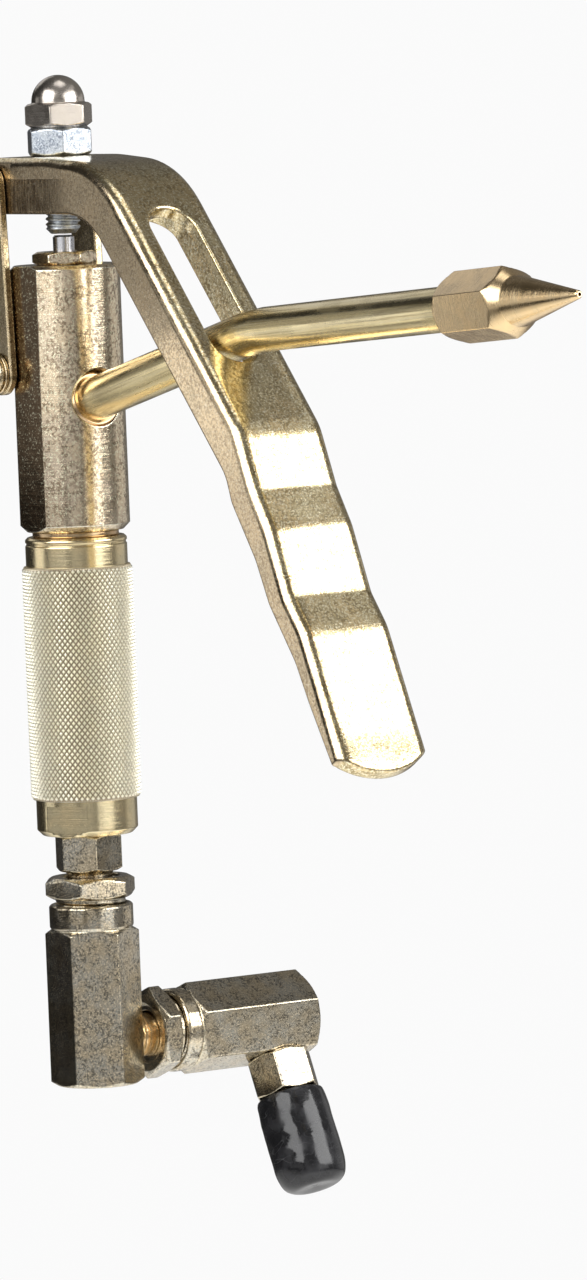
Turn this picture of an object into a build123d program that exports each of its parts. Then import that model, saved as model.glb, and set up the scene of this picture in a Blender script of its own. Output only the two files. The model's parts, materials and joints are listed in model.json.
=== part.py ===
"""Hand control gun for high pressure grease: lever valve, knurled grip, bent spout, Z swivel.

Millimetres. +Z runs up the valve axis, +X points along the spout and the lever.
Z = 0 is the underside of the lever's flat top, where a hook carries the gun.
"""
from build123d import *
from math import cos, radians, sin, sqrt, tan
import os

os.makedirs("parts", exist_ok=True)

# --- stations down the valve axis -------------------------------------------------
HOOK_GAP = 12.0                 # open height between lever and valve body
BODY_TOP = -HOOK_GAP
BODY_LENGTH = 61.5
BODY_BOTTOM = BODY_TOP - BODY_LENGTH
SEAL_WASHER_T = 1.3
GRIP_TOP = BODY_BOTTOM - SEAL_WASHER_T
UPPER_COLLAR_LENGTH = 6.8
KNURL_LENGTH = 54.0
LOWER_COLLAR_LENGTH = 8.4
KNURL_TOP = GRIP_TOP - UPPER_COLLAR_LENGTH
KNURL_BOTTOM = KNURL_TOP - KNURL_LENGTH
GRIP_BOTTOM = KNURL_BOTTOM - LOWER_COLLAR_LENGTH

# --- fits ----------------------------------------------------------------------------
GAP = 0.3                       # between pieces that move past each other
RUNNING = 0.05                  # radial clearance of a shaft in its bore
THREAD_GAP = 0.05               # radial room where a thread is drawn plain

# --- valve body ------------------------------------------------------------------------
BODY_R = 12.7
BODY_FLATS = 23.0               # across the two side flats
PACKING_R = 5.0
PACKING_FLOOR = -27.0
ROD_R = 2.5
ROD_NOSE_R = 1.9
CHAMBER_R = 4.5
CHAMBER_TOP = -33.0
LOWER_BORE_R = 7.0
LOWER_BORE_TOP = -52.0
SEAT_LENGTH = 5.0
SEAT_BORE_R = 3.0
BALL_R = 4.5
BALL_Z = LOWER_BORE_TOP - SEAT_LENGTH - 2.6

# --- linkage ----------------------------------------------------------------------------
PIN_R = 2.5
LOWER_PIN = (-8.5, -36.7)       # X, Z of the pin through the valve body
UPPER_PIN = (-10.6, 6.5)        # X, Z of the pin through the lever's tongue
LINK_T = 2.0
LINK_WIDTH = 10.0
LINK_INNER = BODY_FLATS / 2 + GAP
LINK_OUTER = LINK_INNER + LINK_T
PIN_HEAD_R = 4.3
PIN_HEAD_T = 2.0
PIN_WASHER_R = 4.75
PIN_WASHER_T = 0.7
CLIP_R = 4.2
CLIP_T = 0.7
CLIP_GROOVE_R = 2.0

# --- lever --------------------------------------------------------------------------------
LEVER_WIDTH = 24.0
TONGUE_WIDTH = BODY_FLATS
TONGUE_END = -3.0
TOP_T = 13.0
ARM_SLOPE = 48.5                # degrees below horizontal
ARM_POINT = (44.45, -1.52)      # a point of the arm's outer face
SLOT_WIDTH = 12.0
SLOT_START = 27.2               # slot ends, measured down the arm's slope
SLOT_END = 72.8
WEB_T = 3.4                     # thickness left round the slot, above a relief in the underside
RELIEF_WIDTH = 17.5
RELIEF_MARGIN = 8.0             # how far the relief runs past the slot's ends
GRIP_SLOPE = 57.0               # mean slope of the finger waves
TIP_POINT = (121.7, -123.5)
TIP_ARC_R = 18.0
LEVER_ROLL_R = 2.8              # edges of the outer face, rolled over in pressing
LEVER_EDGE_R = 0.8              # edges of the inner face
SLOT_EDGE_R = 0.6
TIP_EDGE_R = 0.9
LEVER_END_Z = -129.5            # stock's end, beyond the tip
REAR_X = -17.1
REAR_R = 6.4
STUD_R = 4.0
STUD_HOLE_R = 4.1
# side outline as (X, Z, bend radius): over the top, down the finger waves, back underneath
LEVER_OUTLINE = [
    (REAR_X, TOP_T, 0.0), (10.2, TOP_T, 60.0), (33.2, 11.19, 30.0),
    (85.3, -47.7, 14.0), (91.0, -61.0, 5.0), (96.4, -69.5, 14.0), (102.8, -84.3, 5.0),
    (108.5, -91.5, 14.0), (126.2, LEVER_END_Z, 0.0), (122.4, LEVER_END_Z, 0.0),
    (109.1, -107.3, 14.0), (104.6, -98.8, 14.0), (95.2, -86.3, 10.0), (90.6, -76.7, 10.0),
    (82.0, -64.1, 6.0), (80.0, -58.1, 10.0),
    (28.0, 0.0, 20.0), (REAR_X, 0.0, 0.0),
]

# --- spout and nozzle -----------------------------------------------------------------------
TUBE_R = 5.0
TUBE_BORE_R = 3.0
PORT = (12.7, -42.45)           # X, Z where the tube leaves the body
BEND = (77.5, -26.3)            # X, Z of the bend's corner
BEND_R = 45.0
SPOUT_TIP = (199.0, -17.2)
COLLAR_R = 6.5
NOZZLE_FLATS = 14.0
NOZZLE_TURN = 10.0              # hexagon's turn about the spout, in degrees
NOZZLE_START = 76.0             # distances along the second leg from the bend's corner
NOZZLE_HEX = 20.5
NOZZLE_SHOULDER = 24.2
TUBE_IN_NOZZLE = 12.0

# --- swivels --------------------------------------------------------------------------------
SWIVEL_FLATS = 19.0
COUPLING_FLATS = 14.0
SWIVEL_COLLAR_R = 9.75
GLAND_HEX = 5.0
GLAND_GROOVE = 1.4
GLAND_THREAD_R = 8.2
GLAND_THREAD = 9.0
NECK_R = 5.25
FLANGE_R = 6.9
FLANGE_T = 3.0
CAVITY_R = 7.2
PORT_THREAD_R = 4.9
PASSAGE_R = 2.5
PORT_Z = -192.2                 # axis of the second swivel
INLET_Y = 48.0
INLET_ANGLE = 25.0              # inlet's lean from straight down towards +X
INLET_THREAD_R = 6.58
CAP_R = 8.5
CAP_BORE_R = 7.25

# --- directions -------------------------------------------------------------------------------
leg_1 = Vector(BEND[0] - PORT[0], 0, BEND[1] - PORT[1]).normalized()
leg_2 = Vector(SPOUT_TIP[0] - BEND[0], 0, SPOUT_TIP[1] - BEND[1]).normalized()
arm_dir = Vector(cos(radians(ARM_SLOPE)), 0, -sin(radians(ARM_SLOPE)))
arm_normal = Vector(sin(radians(ARM_SLOPE)), 0, cos(radians(ARM_SLOPE)))
inlet_dir = Vector(sin(radians(INLET_ANGLE)), 0, -cos(radians(INLET_ANGLE)))
spout_plane = Plane(origin=(PORT[0], 0, PORT[1]), x_dir=(0, 1, 0), z_dir=leg_1)
down = Plane(origin=(0, 0, GRIP_BOTTOM), x_dir=(1, 0, 0), z_dir=(0, 0, -1))
side = Plane(
    origin=(0, SWIVEL_FLATS / 2, PORT_Z),
    x_dir=(cos(radians(INLET_ANGLE)), 0, sin(radians(INLET_ANGLE))),
    z_dir=(0, 1, 0),
)
inlet = Plane(origin=(0, INLET_Y, PORT_Z), x_dir=(0, 1, 0), z_dir=inlet_dir)


def section_of(plane):
    """The half section of a turned piece: local X is the radius, local Y the distance along."""
    return Plane(origin=plane.origin, x_dir=plane.x_dir, z_dir=-plane.y_dir)


def hex_fitting(plane, flats, span, turn, turned=(), bores=(), cross=()):
    """A hexagon with 30 degree chamfers, turned lengths (r, from, to), bores and cross bores."""
    start, end = span
    corner = flats / sqrt(3)
    face = 0.49 * flats
    drop = (corner - face) * tan(radians(30))
    with BuildPart() as fitting:
        with BuildSketch(plane.offset(start)):
            RegularPolygon(flats / 2, 6, major_radius=False, rotation=turn)
        extrude(amount=end - start)
        with BuildSketch(section_of(plane)):
            with BuildLine():
                Polyline(
                    (0, start), (face, start), (corner, start + drop),
                    (corner, end - drop), (face, end), (0, end), close=True,
                )
            make_face()
        revolve(axis=Axis(plane.origin, plane.z_dir), mode=Mode.INTERSECT)
        for radius, low, high in turned:
            with BuildSketch(plane.offset(low)):
                Circle(radius)
            extrude(amount=high - low)
        for radius, low, high in bores:
            with BuildSketch(plane.offset(low)):
                Circle(radius)
            extrude(amount=high - low, mode=Mode.SUBTRACT)
        for cross_plane, radius, low, high in cross:
            with BuildSketch(cross_plane.offset(low)):
                Circle(radius)
            extrude(amount=high - low, mode=Mode.SUBTRACT)
    return fitting


def ring(plane, outer, inner, low, high):
    """A plain ring around the plane's axis."""
    with BuildPart() as piece:
        with BuildSketch(plane.offset(low)):
            Circle(outer)
            Circle(inner, mode=Mode.SUBTRACT)
        extrude(amount=high - low)
    return piece


def headed_pin(x, z, head_face, clip_face):
    """A clevis pin along Y: head on the -Y side, clip groove beyond the far face."""
    near = Plane(origin=(x, 0, z), x_dir=(1, 0, 0), z_dir=(0, -1, 0))
    with BuildPart() as pin:
        with BuildSketch(near.offset(-clip_face - CLIP_T - 1.2)):
            Circle(PIN_R)
        extrude(amount=clip_face + CLIP_T + 1.2 + head_face)
        with BuildSketch(near.offset(head_face)):
            Circle(PIN_HEAD_R)
        extrude(amount=PIN_HEAD_T)
        fillet(pin.faces().sort_by(Axis.Y)[0].edges(), 1.2)
        chamfer(pin.faces().sort_by(Axis.Y)[-1].edges(), 0.4)
        with BuildSketch(near.offset(-clip_face - CLIP_T)):
            Circle(PIN_R + 1)
            Circle(CLIP_GROOVE_R, mode=Mode.SUBTRACT)
        extrude(amount=CLIP_T, mode=Mode.SUBTRACT)
    return pin


def pin_clip(x, z, clip_face):
    """An open retaining ring in the pin's groove."""
    far = Plane(origin=(x, clip_face, z), x_dir=(1, 0, 0), z_dir=(0, 1, 0))
    with BuildPart() as clip:
        with BuildSketch(far):
            Circle(CLIP_R)
            Circle(CLIP_GROOVE_R, mode=Mode.SUBTRACT)
            with Locations((0, CLIP_R)):
                Rectangle(2 * CLIP_GROOVE_R - 0.6, 2 * CLIP_R, mode=Mode.SUBTRACT)
            for angle in (200, 340):
                with PolarLocations(CLIP_GROOVE_R + 0.5, 1, start_angle=angle):
                    Circle(0.7, mode=Mode.SUBTRACT)
        extrude(amount=CLIP_T)
    return clip


def link_plate(inner_y):
    """A flat link between the two pins, its inner face at Y = inner_y on the +Y side."""
    low = Vector(LOWER_PIN[0], 0, LOWER_PIN[1])
    high = Vector(UPPER_PIN[0], 0, UPPER_PIN[1])
    plane = Plane(origin=(low + high) / 2 + Vector(0, inner_y, 0), x_dir=high - low, z_dir=(0, 1, 0))
    centres = (high - low).length
    with BuildPart() as plate:
        with BuildSketch(plane):
            SlotCenterToCenter(centres, LINK_WIDTH)
            with Locations((-centres / 2, 0), (centres / 2, 0)):
                Circle(PIN_R + RUNNING, mode=Mode.SUBTRACT)
        extrude(amount=LINK_T)
        chamfer(plate.edges().filter_by(GeomType.CIRCLE).sort_by(SortBy.RADIUS)[-4:], 0.3)
    return plate


# --- valve body ---------------------------------------------------------------------------------
with BuildPart() as valve_body:
    with BuildSketch(Plane.XY.offset(BODY_BOTTOM)):
        Circle(BODY_R)
    extrude(amount=BODY_LENGTH)
    chamfer(valve_body.edges().sort_by(Axis.Z)[-1], 0.9)
    chamfer(valve_body.edges().sort_by(Axis.Z)[0], 1.5)
    with BuildSketch(Plane.XY.offset(BODY_BOTTOM)):
        Rectangle(3 * BODY_R, BODY_FLATS)
    extrude(amount=BODY_LENGTH, mode=Mode.INTERSECT)
    # bores from the top: packing, rod guide, outlet chamber, seat and ball chamber
    for bore_r, bore_top, bore_floor in (
        (PACKING_R + THREAD_GAP, BODY_TOP, PACKING_FLOOR),
        (ROD_R + RUNNING, PACKING_FLOOR, CHAMBER_TOP),
        (CHAMBER_R, CHAMBER_TOP, LOWER_BORE_TOP),
        (LOWER_BORE_R + THREAD_GAP, LOWER_BORE_TOP, BODY_BOTTOM),
    ):
        with BuildSketch(Plane.XY.offset(bore_floor)):
            Circle(bore_r)
        extrude(amount=bore_top - bore_floor, mode=Mode.SUBTRACT)
    # spout port: counterbore for the collar, seat for the tube, passage into the chamber
    for port_r, port_from, port_to in (
        (COLLAR_R + THREAD_GAP, -4.6, 8.0),
        (TUBE_R + THREAD_GAP, -7.0, 0.0),
        (TUBE_BORE_R, -12.5, -6.0),
    ):
        with BuildSketch(spout_plane.offset(port_from)):
            Circle(port_r)
        extrude(amount=port_to - port_from, mode=Mode.SUBTRACT)
    # lower link pin
    with BuildSketch(Plane(origin=(LOWER_PIN[0], -BODY_R, LOWER_PIN[1]), z_dir=(0, 1, 0))):
        Circle(PIN_R)
    extrude(amount=2 * BODY_R, mode=Mode.SUBTRACT)

# --- packing, seat, ball and spring -----------------------------------------------------------------
packing_gland = hex_fitting(
    Plane.XY.offset(BODY_TOP), 13.0, (0.0, 3.0), 57.0,
    turned=[(PACKING_R, -8.0, 0.0)],
    bores=[(ROD_R + RUNNING, -8.0, 3.0)],
)

with BuildPart() as packing_rings:
    for level in range(4):
        with BuildSketch(Plane.XY.offset(PACKING_FLOOR + 1.7 * level)):
            Circle(PACKING_R)
            Circle(ROD_R + RUNNING, mode=Mode.SUBTRACT)
        extrude(amount=1.6)

with BuildPart() as valve_seat:
    with BuildSketch(Plane.XY.offset(LOWER_BORE_TOP - SEAT_LENGTH)):
        Circle(LOWER_BORE_R)
        Circle(SEAT_BORE_R, mode=Mode.SUBTRACT)
    extrude(amount=SEAT_LENGTH)
    chamfer(
        valve_seat.edges().filter_by(GeomType.CIRCLE).group_by(SortBy.RADIUS)[0].sort_by(Axis.Z)[0],
        1.0,
    )

with BuildPart() as valve_ball:
    with Locations((0, 0, BALL_Z)):
        Sphere(BALL_R)

SPRING_WIRE_R = 0.5
SPRING_MEAN_R = 3.4
SPRING_TOP = BALL_Z - 3.75
SPRING_FOOT = -79.0
with BuildPart() as valve_spring:
    with BuildLine():
        coil = Helix(
            pitch=2.5, height=SPRING_TOP - SPRING_FOOT, radius=SPRING_MEAN_R,
            center=(0, 0, SPRING_FOOT),
        )
    with BuildSketch(Plane(origin=coil @ 0, z_dir=coil % 0)):
        Circle(SPRING_WIRE_R)
    sweep(is_frenet=True)

# --- push rod ---------------------------------------------------------------------------------------
ROD_TOP = -5.3
ROD_STEP = -34.0
ROD_FOOT = BALL_Z + BALL_R + GAP
with BuildPart() as push_rod:
    with BuildSketch(Plane.XY.offset(ROD_STEP)):
        Circle(ROD_R)
    extrude(amount=ROD_TOP - ROD_STEP)
    with BuildSketch(Plane.XY.offset(ROD_FOOT)):
        Circle(ROD_NOSE_R)
    extrude(amount=ROD_STEP - ROD_FOOT)
    chamfer(push_rod.edges().sort_by(Axis.Z)[-1], 0.4)

# --- grip ---------------------------------------------------------------------------------------------
grip_washer = ring(Plane.XY.offset(GRIP_TOP), 10.0, LOWER_BORE_R + THREAD_GAP, 0.0, SEAL_WASHER_T)

KNURL_R = 12.8
SPIGOT_TOP = -65.0
SPRING_POCKET = SPRING_FOOT - SPRING_WIRE_R - 0.1
with BuildPart() as grip:
    for length_r, length_top, length_floor in (
        (LOWER_BORE_R, SPIGOT_TOP, GRIP_TOP),
        (11.8, GRIP_TOP, KNURL_TOP),
        (KNURL_R, KNURL_TOP, KNURL_BOTTOM),
        (11.7, KNURL_BOTTOM, GRIP_BOTTOM),
    ):
        with BuildSketch(Plane.XY.offset(length_floor)):
            Circle(length_r)
        extrude(amount=length_top - length_floor)
    outer_rims = grip.edges().filter_by(GeomType.CIRCLE)
    chamfer(outer_rims.filter_by(lambda rim: abs(rim.radius - KNURL_R) < 0.01), 0.7)
    chamfer(outer_rims.sort_by(Axis.Z)[0], 1.3)
    top_rims = outer_rims.filter_by_position(Axis.Z, GRIP_TOP - 0.1, GRIP_TOP + 0.1)
    chamfer(top_rims.sort_by(SortBy.RADIUS)[-1], 0.6)
    # two wrench flats on the lower collar
    flat_plane = Plane.XY.offset(GRIP_BOTTOM).rotated((0, 0, -60))
    with BuildSketch(flat_plane):
        with Locations((14.5, 0), (-14.5, 0)):
            Rectangle(8.0, 24.0)
    extrude(amount=LOWER_COLLAR_LENGTH - 1.2, mode=Mode.SUBTRACT)
    # spring pocket, grease passage, thread for the swivel's coupling
    for bore_r, bore_top, bore_floor in (
        (4.6, SPIGOT_TOP, SPRING_POCKET),
        (3.5, SPRING_POCKET, GRIP_BOTTOM + 12.0),
        (6.0 + THREAD_GAP, GRIP_BOTTOM + 12.0, GRIP_BOTTOM),
    ):
        with BuildSketch(Plane.XY.offset(bore_floor)):
            Circle(bore_r)
        extrude(amount=bore_top - bore_floor, mode=Mode.SUBTRACT)

# --- linkage ------------------------------------------------------------------------------------------
WASHER_FACE = LINK_OUTER + GAP
lower_link_pin = headed_pin(*LOWER_PIN, WASHER_FACE + PIN_WASHER_T, WASHER_FACE + PIN_WASHER_T)
lower_pin_clip = pin_clip(*LOWER_PIN, WASHER_FACE + PIN_WASHER_T)
upper_link_pin = headed_pin(*UPPER_PIN, LINK_OUTER, LINK_OUTER)
upper_pin_clip = pin_clip(*UPPER_PIN, LINK_OUTER)
link_plate_left = link_plate(LINK_INNER)
link_plate_right = link_plate(-LINK_OUTER)

with BuildPart() as lower_pin_washers:
    pin_axis = Plane(origin=(LOWER_PIN[0], 0, LOWER_PIN[1]), x_dir=(1, 0, 0), z_dir=(0, 1, 0))
    for washer_y in (WASHER_FACE, -WASHER_FACE - PIN_WASHER_T):
        with BuildSketch(pin_axis.offset(washer_y)):
            Circle(PIN_WASHER_R)
            Circle(PIN_R + RUNNING, mode=Mode.SUBTRACT)
        extrude(amount=PIN_WASHER_T)

# --- lever ----------------------------------------------------------------------------------------------
half = LEVER_WIDTH / 2
grip_dir = Vector(cos(radians(GRIP_SLOPE)), 0, -sin(radians(GRIP_SLOPE)))
grip_normal = Vector(sin(radians(GRIP_SLOPE)), 0, cos(radians(GRIP_SLOPE)))
tip_plane = Plane(origin=(TIP_POINT[0], 0, TIP_POINT[1]), x_dir=grip_dir, z_dir=grip_normal)
tip_sagitta = TIP_ARC_R - sqrt(TIP_ARC_R**2 - half**2)
slot_plane = Plane(origin=(ARM_POINT[0], 0, ARM_POINT[1]), x_dir=arm_dir, z_dir=arm_normal)
arm_station = Vector(ARM_POINT[0], 0, ARM_POINT[1]).dot(arm_dir)
slot_centre = slot_plane.origin + arm_dir * ((SLOT_START + SLOT_END) / 2 - arm_station)


def side_rims(faces):
    """Edges of the given faces that lie in the lever's two side planes."""
    return faces.edges().filter_by(lambda edge: abs(abs((edge @ 0.5).Y) - half) < 0.01)


def is_slot_wall(face):
    """True for the four walls of the lever's slot."""
    offset = face.center() - slot_centre
    inside = abs(offset.dot(arm_dir)) < SLOT_END - SLOT_START and abs(offset.Y) < SLOT_WIDTH
    return inside and abs(face.normal_at(face.center()).dot(arm_normal)) < 0.02


def crosses_plate(edge):
    """True for the slot's corner lines, which run through the plate's thickness."""
    return edge.geom_type == GeomType.LINE and abs(edge.tangent_at(0.5).dot(arm_normal)) > 0.9


with BuildPart() as lever:
    with BuildSketch(Plane.XZ) as lever_side:
        with BuildLine():
            Polyline(*[(x, z) for x, z, _ in LEVER_OUTLINE], close=True)
        make_face()
        for x, z, bend_radius in LEVER_OUTLINE:
            if bend_radius:
                fillet(lever_side.vertices().sort_by_distance((x, z))[0], bend_radius)
    extrude(amount=half, both=True)
    # edges along both sides: broad rolls on the outer face, small ones on the inner face
    outer_faces = lever.faces().filter_by(lambda face: face.normal_at().dot(arm_normal) > 0.3)
    fillet(side_rims(outer_faces), LEVER_ROLL_R)
    inner_faces = lever.faces().filter_by(
        lambda face: face.normal_at().dot(arm_normal) < -0.3 and face.center().Z > LEVER_END_Z + 0.1
        and face.center().X > REAR_X + 0.1
    )
    fillet(side_rims(inner_faces), LEVER_EDGE_R)
    # rounded rear end
    with BuildSketch(Plane.XZ) as rear_end:
        with BuildLine():
            Polyline((REAR_X, 0), (REAR_X, TOP_T), (250, TOP_T), (250, -250), (0, -250), (0, 0), close=True)
        make_face()
        fillet(rear_end.vertices().group_by(Axis.X)[0], REAR_R)
    extrude(amount=half, both=True, mode=Mode.INTERSECT)
    # the tip, an arc across the lever's width
    with BuildSketch(tip_plane):
        with BuildLine():
            ThreePointArc((-tip_sagitta, -half), (0, 0), (-tip_sagitta, half))
            Polyline((-tip_sagitta, half), (-250, half), (-250, -half), (-tip_sagitta, -half))
        make_face()
    extrude(amount=120, both=True, mode=Mode.INTERSECT)
    fillet(lever.edges().filter_by(lambda edge: (edge @ 0.5).Z < TIP_POINT[1] + 7), TIP_EDGE_R)
    # slot for the spout
    with BuildSketch(slot_plane):
        with Locations(((SLOT_START + SLOT_END) / 2 - arm_station, 0)):
            SlotOverall(SLOT_END - SLOT_START, SLOT_WIDTH)
    extrude(amount=16, both=True, mode=Mode.SUBTRACT)
    slot_rims = lever.faces().filter_by(is_slot_wall).edges()
    fillet(slot_rims.filter_by(lambda edge: not crosses_plate(edge)), SLOT_EDGE_R)
    # relief in the underside, round the slot
    with BuildSketch(slot_plane.offset(-WEB_T)):
        with Locations(((SLOT_START + SLOT_END) / 2 - arm_station, 0)):
            SlotOverall(SLOT_END - SLOT_START + 2 * RELIEF_MARGIN, RELIEF_WIDTH)
    extrude(amount=-12, mode=Mode.SUBTRACT)
    # the rear narrows to a tongue between the links
    with BuildSketch(Plane.XY):
        with Locations((TONGUE_END - 20, TONGUE_WIDTH / 2 + 5), (TONGUE_END - 20, -TONGUE_WIDTH / 2 - 5)):
            Rectangle(40, 10)
    extrude(amount=TOP_T, mode=Mode.SUBTRACT)
    # hole of the adjusting screw and of the upper pin
    with BuildSketch(Plane.XY):
        Circle(STUD_HOLE_R)
    extrude(amount=TOP_T, mode=Mode.SUBTRACT)
    with BuildSketch(Plane(origin=(UPPER_PIN[0], -half, UPPER_PIN[1]), z_dir=(0, 1, 0))):
        Circle(PIN_R + RUNNING)
    extrude(amount=LEVER_WIDTH, mode=Mode.SUBTRACT)

# --- adjusting screw and its nuts ---------------------------------------------------------------------------
SCREW_TIP = -5.0
NUT_T = 6.6
ACORN_HEX = 5.6
with BuildPart() as adjusting_screw:
    with BuildSketch(Plane.XY.offset(SCREW_TIP)):
        Circle(STUD_R)
    extrude(amount=TOP_T + NUT_T + ACORN_HEX - SCREW_TIP)
    chamfer(adjusting_screw.edges().sort_by(Axis.Z)[0], 1.2)
    chamfer(adjusting_screw.edges().sort_by(Axis.Z)[-1], 0.8)

lock_nut = hex_fitting(
    Plane.XY.offset(TOP_T), 14.0, (0.0, NUT_T), 33.0, bores=[(STUD_R + THREAD_GAP, 0.0, NUT_T)],
)

ACORN_BASE = TOP_T + NUT_T
DOME_R = 6.15
DOME_BASE = ACORN_BASE + ACORN_HEX + 0.25
with BuildPart() as acorn_nut:
    with BuildSketch(Plane.XY.offset(ACORN_BASE)):
        RegularPolygon(7.0, 6, major_radius=False, rotation=13.0)
    extrude(amount=ACORN_HEX)
    with BuildSketch(Plane.XZ):
        with BuildLine():
            Polyline(
                (0, ACORN_BASE), (6.6, ACORN_BASE), (8.1, ACORN_BASE + 0.9),
                (8.1, ACORN_BASE + ACORN_HEX - 0.7), (6.9, ACORN_BASE + ACORN_HEX),
                (0, ACORN_BASE + ACORN_HEX), close=True,
            )
        make_face()
    revolve(axis=Axis.Z, mode=Mode.INTERSECT)
    with BuildSketch(Plane.XZ):
        with BuildLine():
            Polyline((0, DOME_BASE + DOME_R), (0, ACORN_BASE), (DOME_R, ACORN_BASE), (DOME_R, DOME_BASE))
            RadiusArc((DOME_R, DOME_BASE), (0, DOME_BASE + DOME_R), -DOME_R)
        make_face()
    revolve(axis=Axis.Z)
    with BuildSketch(Plane.XY.offset(ACORN_BASE)):
        Circle(STUD_R + THREAD_GAP)
    extrude(amount=ACORN_HEX + 1.5, mode=Mode.SUBTRACT)

# --- spout ------------------------------------------------------------------------------------------------------
tube_start = Vector(PORT[0], 0, PORT[1]) - leg_1 * 6.5
bend_corner = Vector(BEND[0], 0, BEND[1])
tube_end = bend_corner + leg_2 * (NOZZLE_START + TUBE_IN_NOZZLE)
with BuildPart() as spout_tube:
    with BuildLine():
        FilletPolyline(tube_start, bend_corner, tube_end, radius=BEND_R)
    with BuildSketch(Plane(origin=tube_start, z_dir=leg_1)):
        Circle(TUBE_R)
        Circle(TUBE_BORE_R, mode=Mode.SUBTRACT)
    sweep()

spout_collar = ring(spout_plane, COLLAR_R, TUBE_R + THREAD_GAP, -4.5, -1.6)
nozzle_plane = Plane(
    origin=bend_corner + leg_2 * NOZZLE_START,
    x_dir=Vector(-leg_2.Z, 0, leg_2.X),
    z_dir=leg_2,
)
nozzle_length = (Vector(SPOUT_TIP[0], 0, SPOUT_TIP[1]) - bend_corner).length - NOZZLE_START
NOZZLE_CORNER = NOZZLE_FLATS / sqrt(3)
with BuildPart() as nozzle:
    with BuildSketch(nozzle_plane):
        RegularPolygon(NOZZLE_FLATS / 2, 6, major_radius=False, rotation=NOZZLE_TURN)
    extrude(amount=nozzle_length)
    with BuildSketch(section_of(nozzle_plane)):
        with BuildLine():
            Polyline(
                (0, 0), (5.9, 0), (NOZZLE_CORNER, 3.2), (NOZZLE_CORNER, NOZZLE_HEX),
                (5.6, NOZZLE_SHOULDER), (0.95, nozzle_length - 0.4), (0.6, nozzle_length),
                (0, nozzle_length), close=True,
            )
        make_face()
    revolve(axis=Axis(nozzle_plane.origin, nozzle_plane.z_dir), mode=Mode.INTERSECT)
    for bore_r, bore_from, bore_to in (
        (TUBE_R + THREAD_GAP, 0.0, TUBE_IN_NOZZLE),
        (2.5, TUBE_IN_NOZZLE, 30.0),
        (0.45, 30.0, nozzle_length),
    ):
        with BuildSketch(nozzle_plane.offset(bore_from)):
            Circle(bore_r)
        extrude(amount=bore_to - bore_from, mode=Mode.SUBTRACT)

# --- first swivel, about Z --------------------------------------------------------------------------------------
GLAND_1 = 9.9                   # stations down from the grip's end
COLLAR_1 = 5.8
BODY_1_START = GLAND_1 + GLAND_HEX + GLAND_GROOVE
BODY_1_HEX = BODY_1_START + COLLAR_1
BODY_1_END = 58.5
FLANGE_1 = GLAND_1 + GLAND_HEX + GLAND_THREAD + GAP
CAVITY_1_END = FLANGE_1 + FLANGE_T + GAP + 2.5
port_station = GRIP_BOTTOM - PORT_Z

swivel_nipple_1 = hex_fitting(
    down, COUPLING_FLATS, (0.0, 8.6), 21.0,
    turned=[(6.0, -11.0, 0.0), (NECK_R, 8.6, FLANGE_1), (FLANGE_R, FLANGE_1, FLANGE_1 + FLANGE_T)],
    bores=[(PASSAGE_R, -11.0, FLANGE_1 + FLANGE_T)],
)
swivel_gland_1 = hex_fitting(
    down, SWIVEL_FLATS, (GLAND_1, GLAND_1 + GLAND_HEX), 44.6,
    turned=[(GLAND_THREAD_R, GLAND_1 + GLAND_HEX, GLAND_1 + GLAND_HEX + GLAND_THREAD)],
    bores=[(NECK_R + RUNNING, GLAND_1, GLAND_1 + GLAND_HEX + GLAND_THREAD)],
)
swivel_body_1 = hex_fitting(
    down, SWIVEL_FLATS, (BODY_1_HEX, BODY_1_END), 0.0,
    turned=[(SWIVEL_COLLAR_R, BODY_1_START, BODY_1_HEX + 1.0)],
    bores=[
        (GLAND_THREAD_R + THREAD_GAP, BODY_1_START, GLAND_1 + GLAND_HEX + GLAND_THREAD),
        (CAVITY_R, GLAND_1 + GLAND_HEX + GLAND_THREAD, CAVITY_1_END),
        (PASSAGE_R, CAVITY_1_END, port_station + PASSAGE_R),
    ],
    cross=[
        (side, PORT_THREAD_R + THREAD_GAP, -7.0, 0.0),
        (side, PASSAGE_R, -SWIVEL_FLATS / 2, -7.0),
    ],
)
swivel_seal_1 = ring(down, CAVITY_R, 4.0, FLANGE_1 + FLANGE_T + GAP, CAVITY_1_END)

# --- second swivel, about Y ---------------------------------------------------------------------------------------
GLAND_2 = 3.8                   # stations out from the first swivel's side face
COLLAR_2 = 4.2
BODY_2_START = GLAND_2 + GLAND_HEX + GLAND_GROOVE
BODY_2_HEX = BODY_2_START + COLLAR_2
BODY_2_END = 47.5
FLANGE_2 = GLAND_2 + GLAND_HEX + GLAND_THREAD + GAP
CAVITY_2_END = FLANGE_2 + FLANGE_T + GAP + 2.5
inlet_station = INLET_Y - SWIVEL_FLATS / 2

with BuildPart() as swivel_stub_2:
    for length_r, length_from, length_to in (
        (PORT_THREAD_R, -6.8, 2.0),
        (NECK_R, 2.0, FLANGE_2),
        (FLANGE_R, FLANGE_2, FLANGE_2 + FLANGE_T),
    ):
        with BuildSketch(side.offset(length_from)):
            Circle(length_r)
        extrude(amount=length_to - length_from)
    with BuildSketch(side.offset(-6.8)):
        Circle(PASSAGE_R)
    extrude(amount=FLANGE_2 + FLANGE_T + 6.8, mode=Mode.SUBTRACT)

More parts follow.
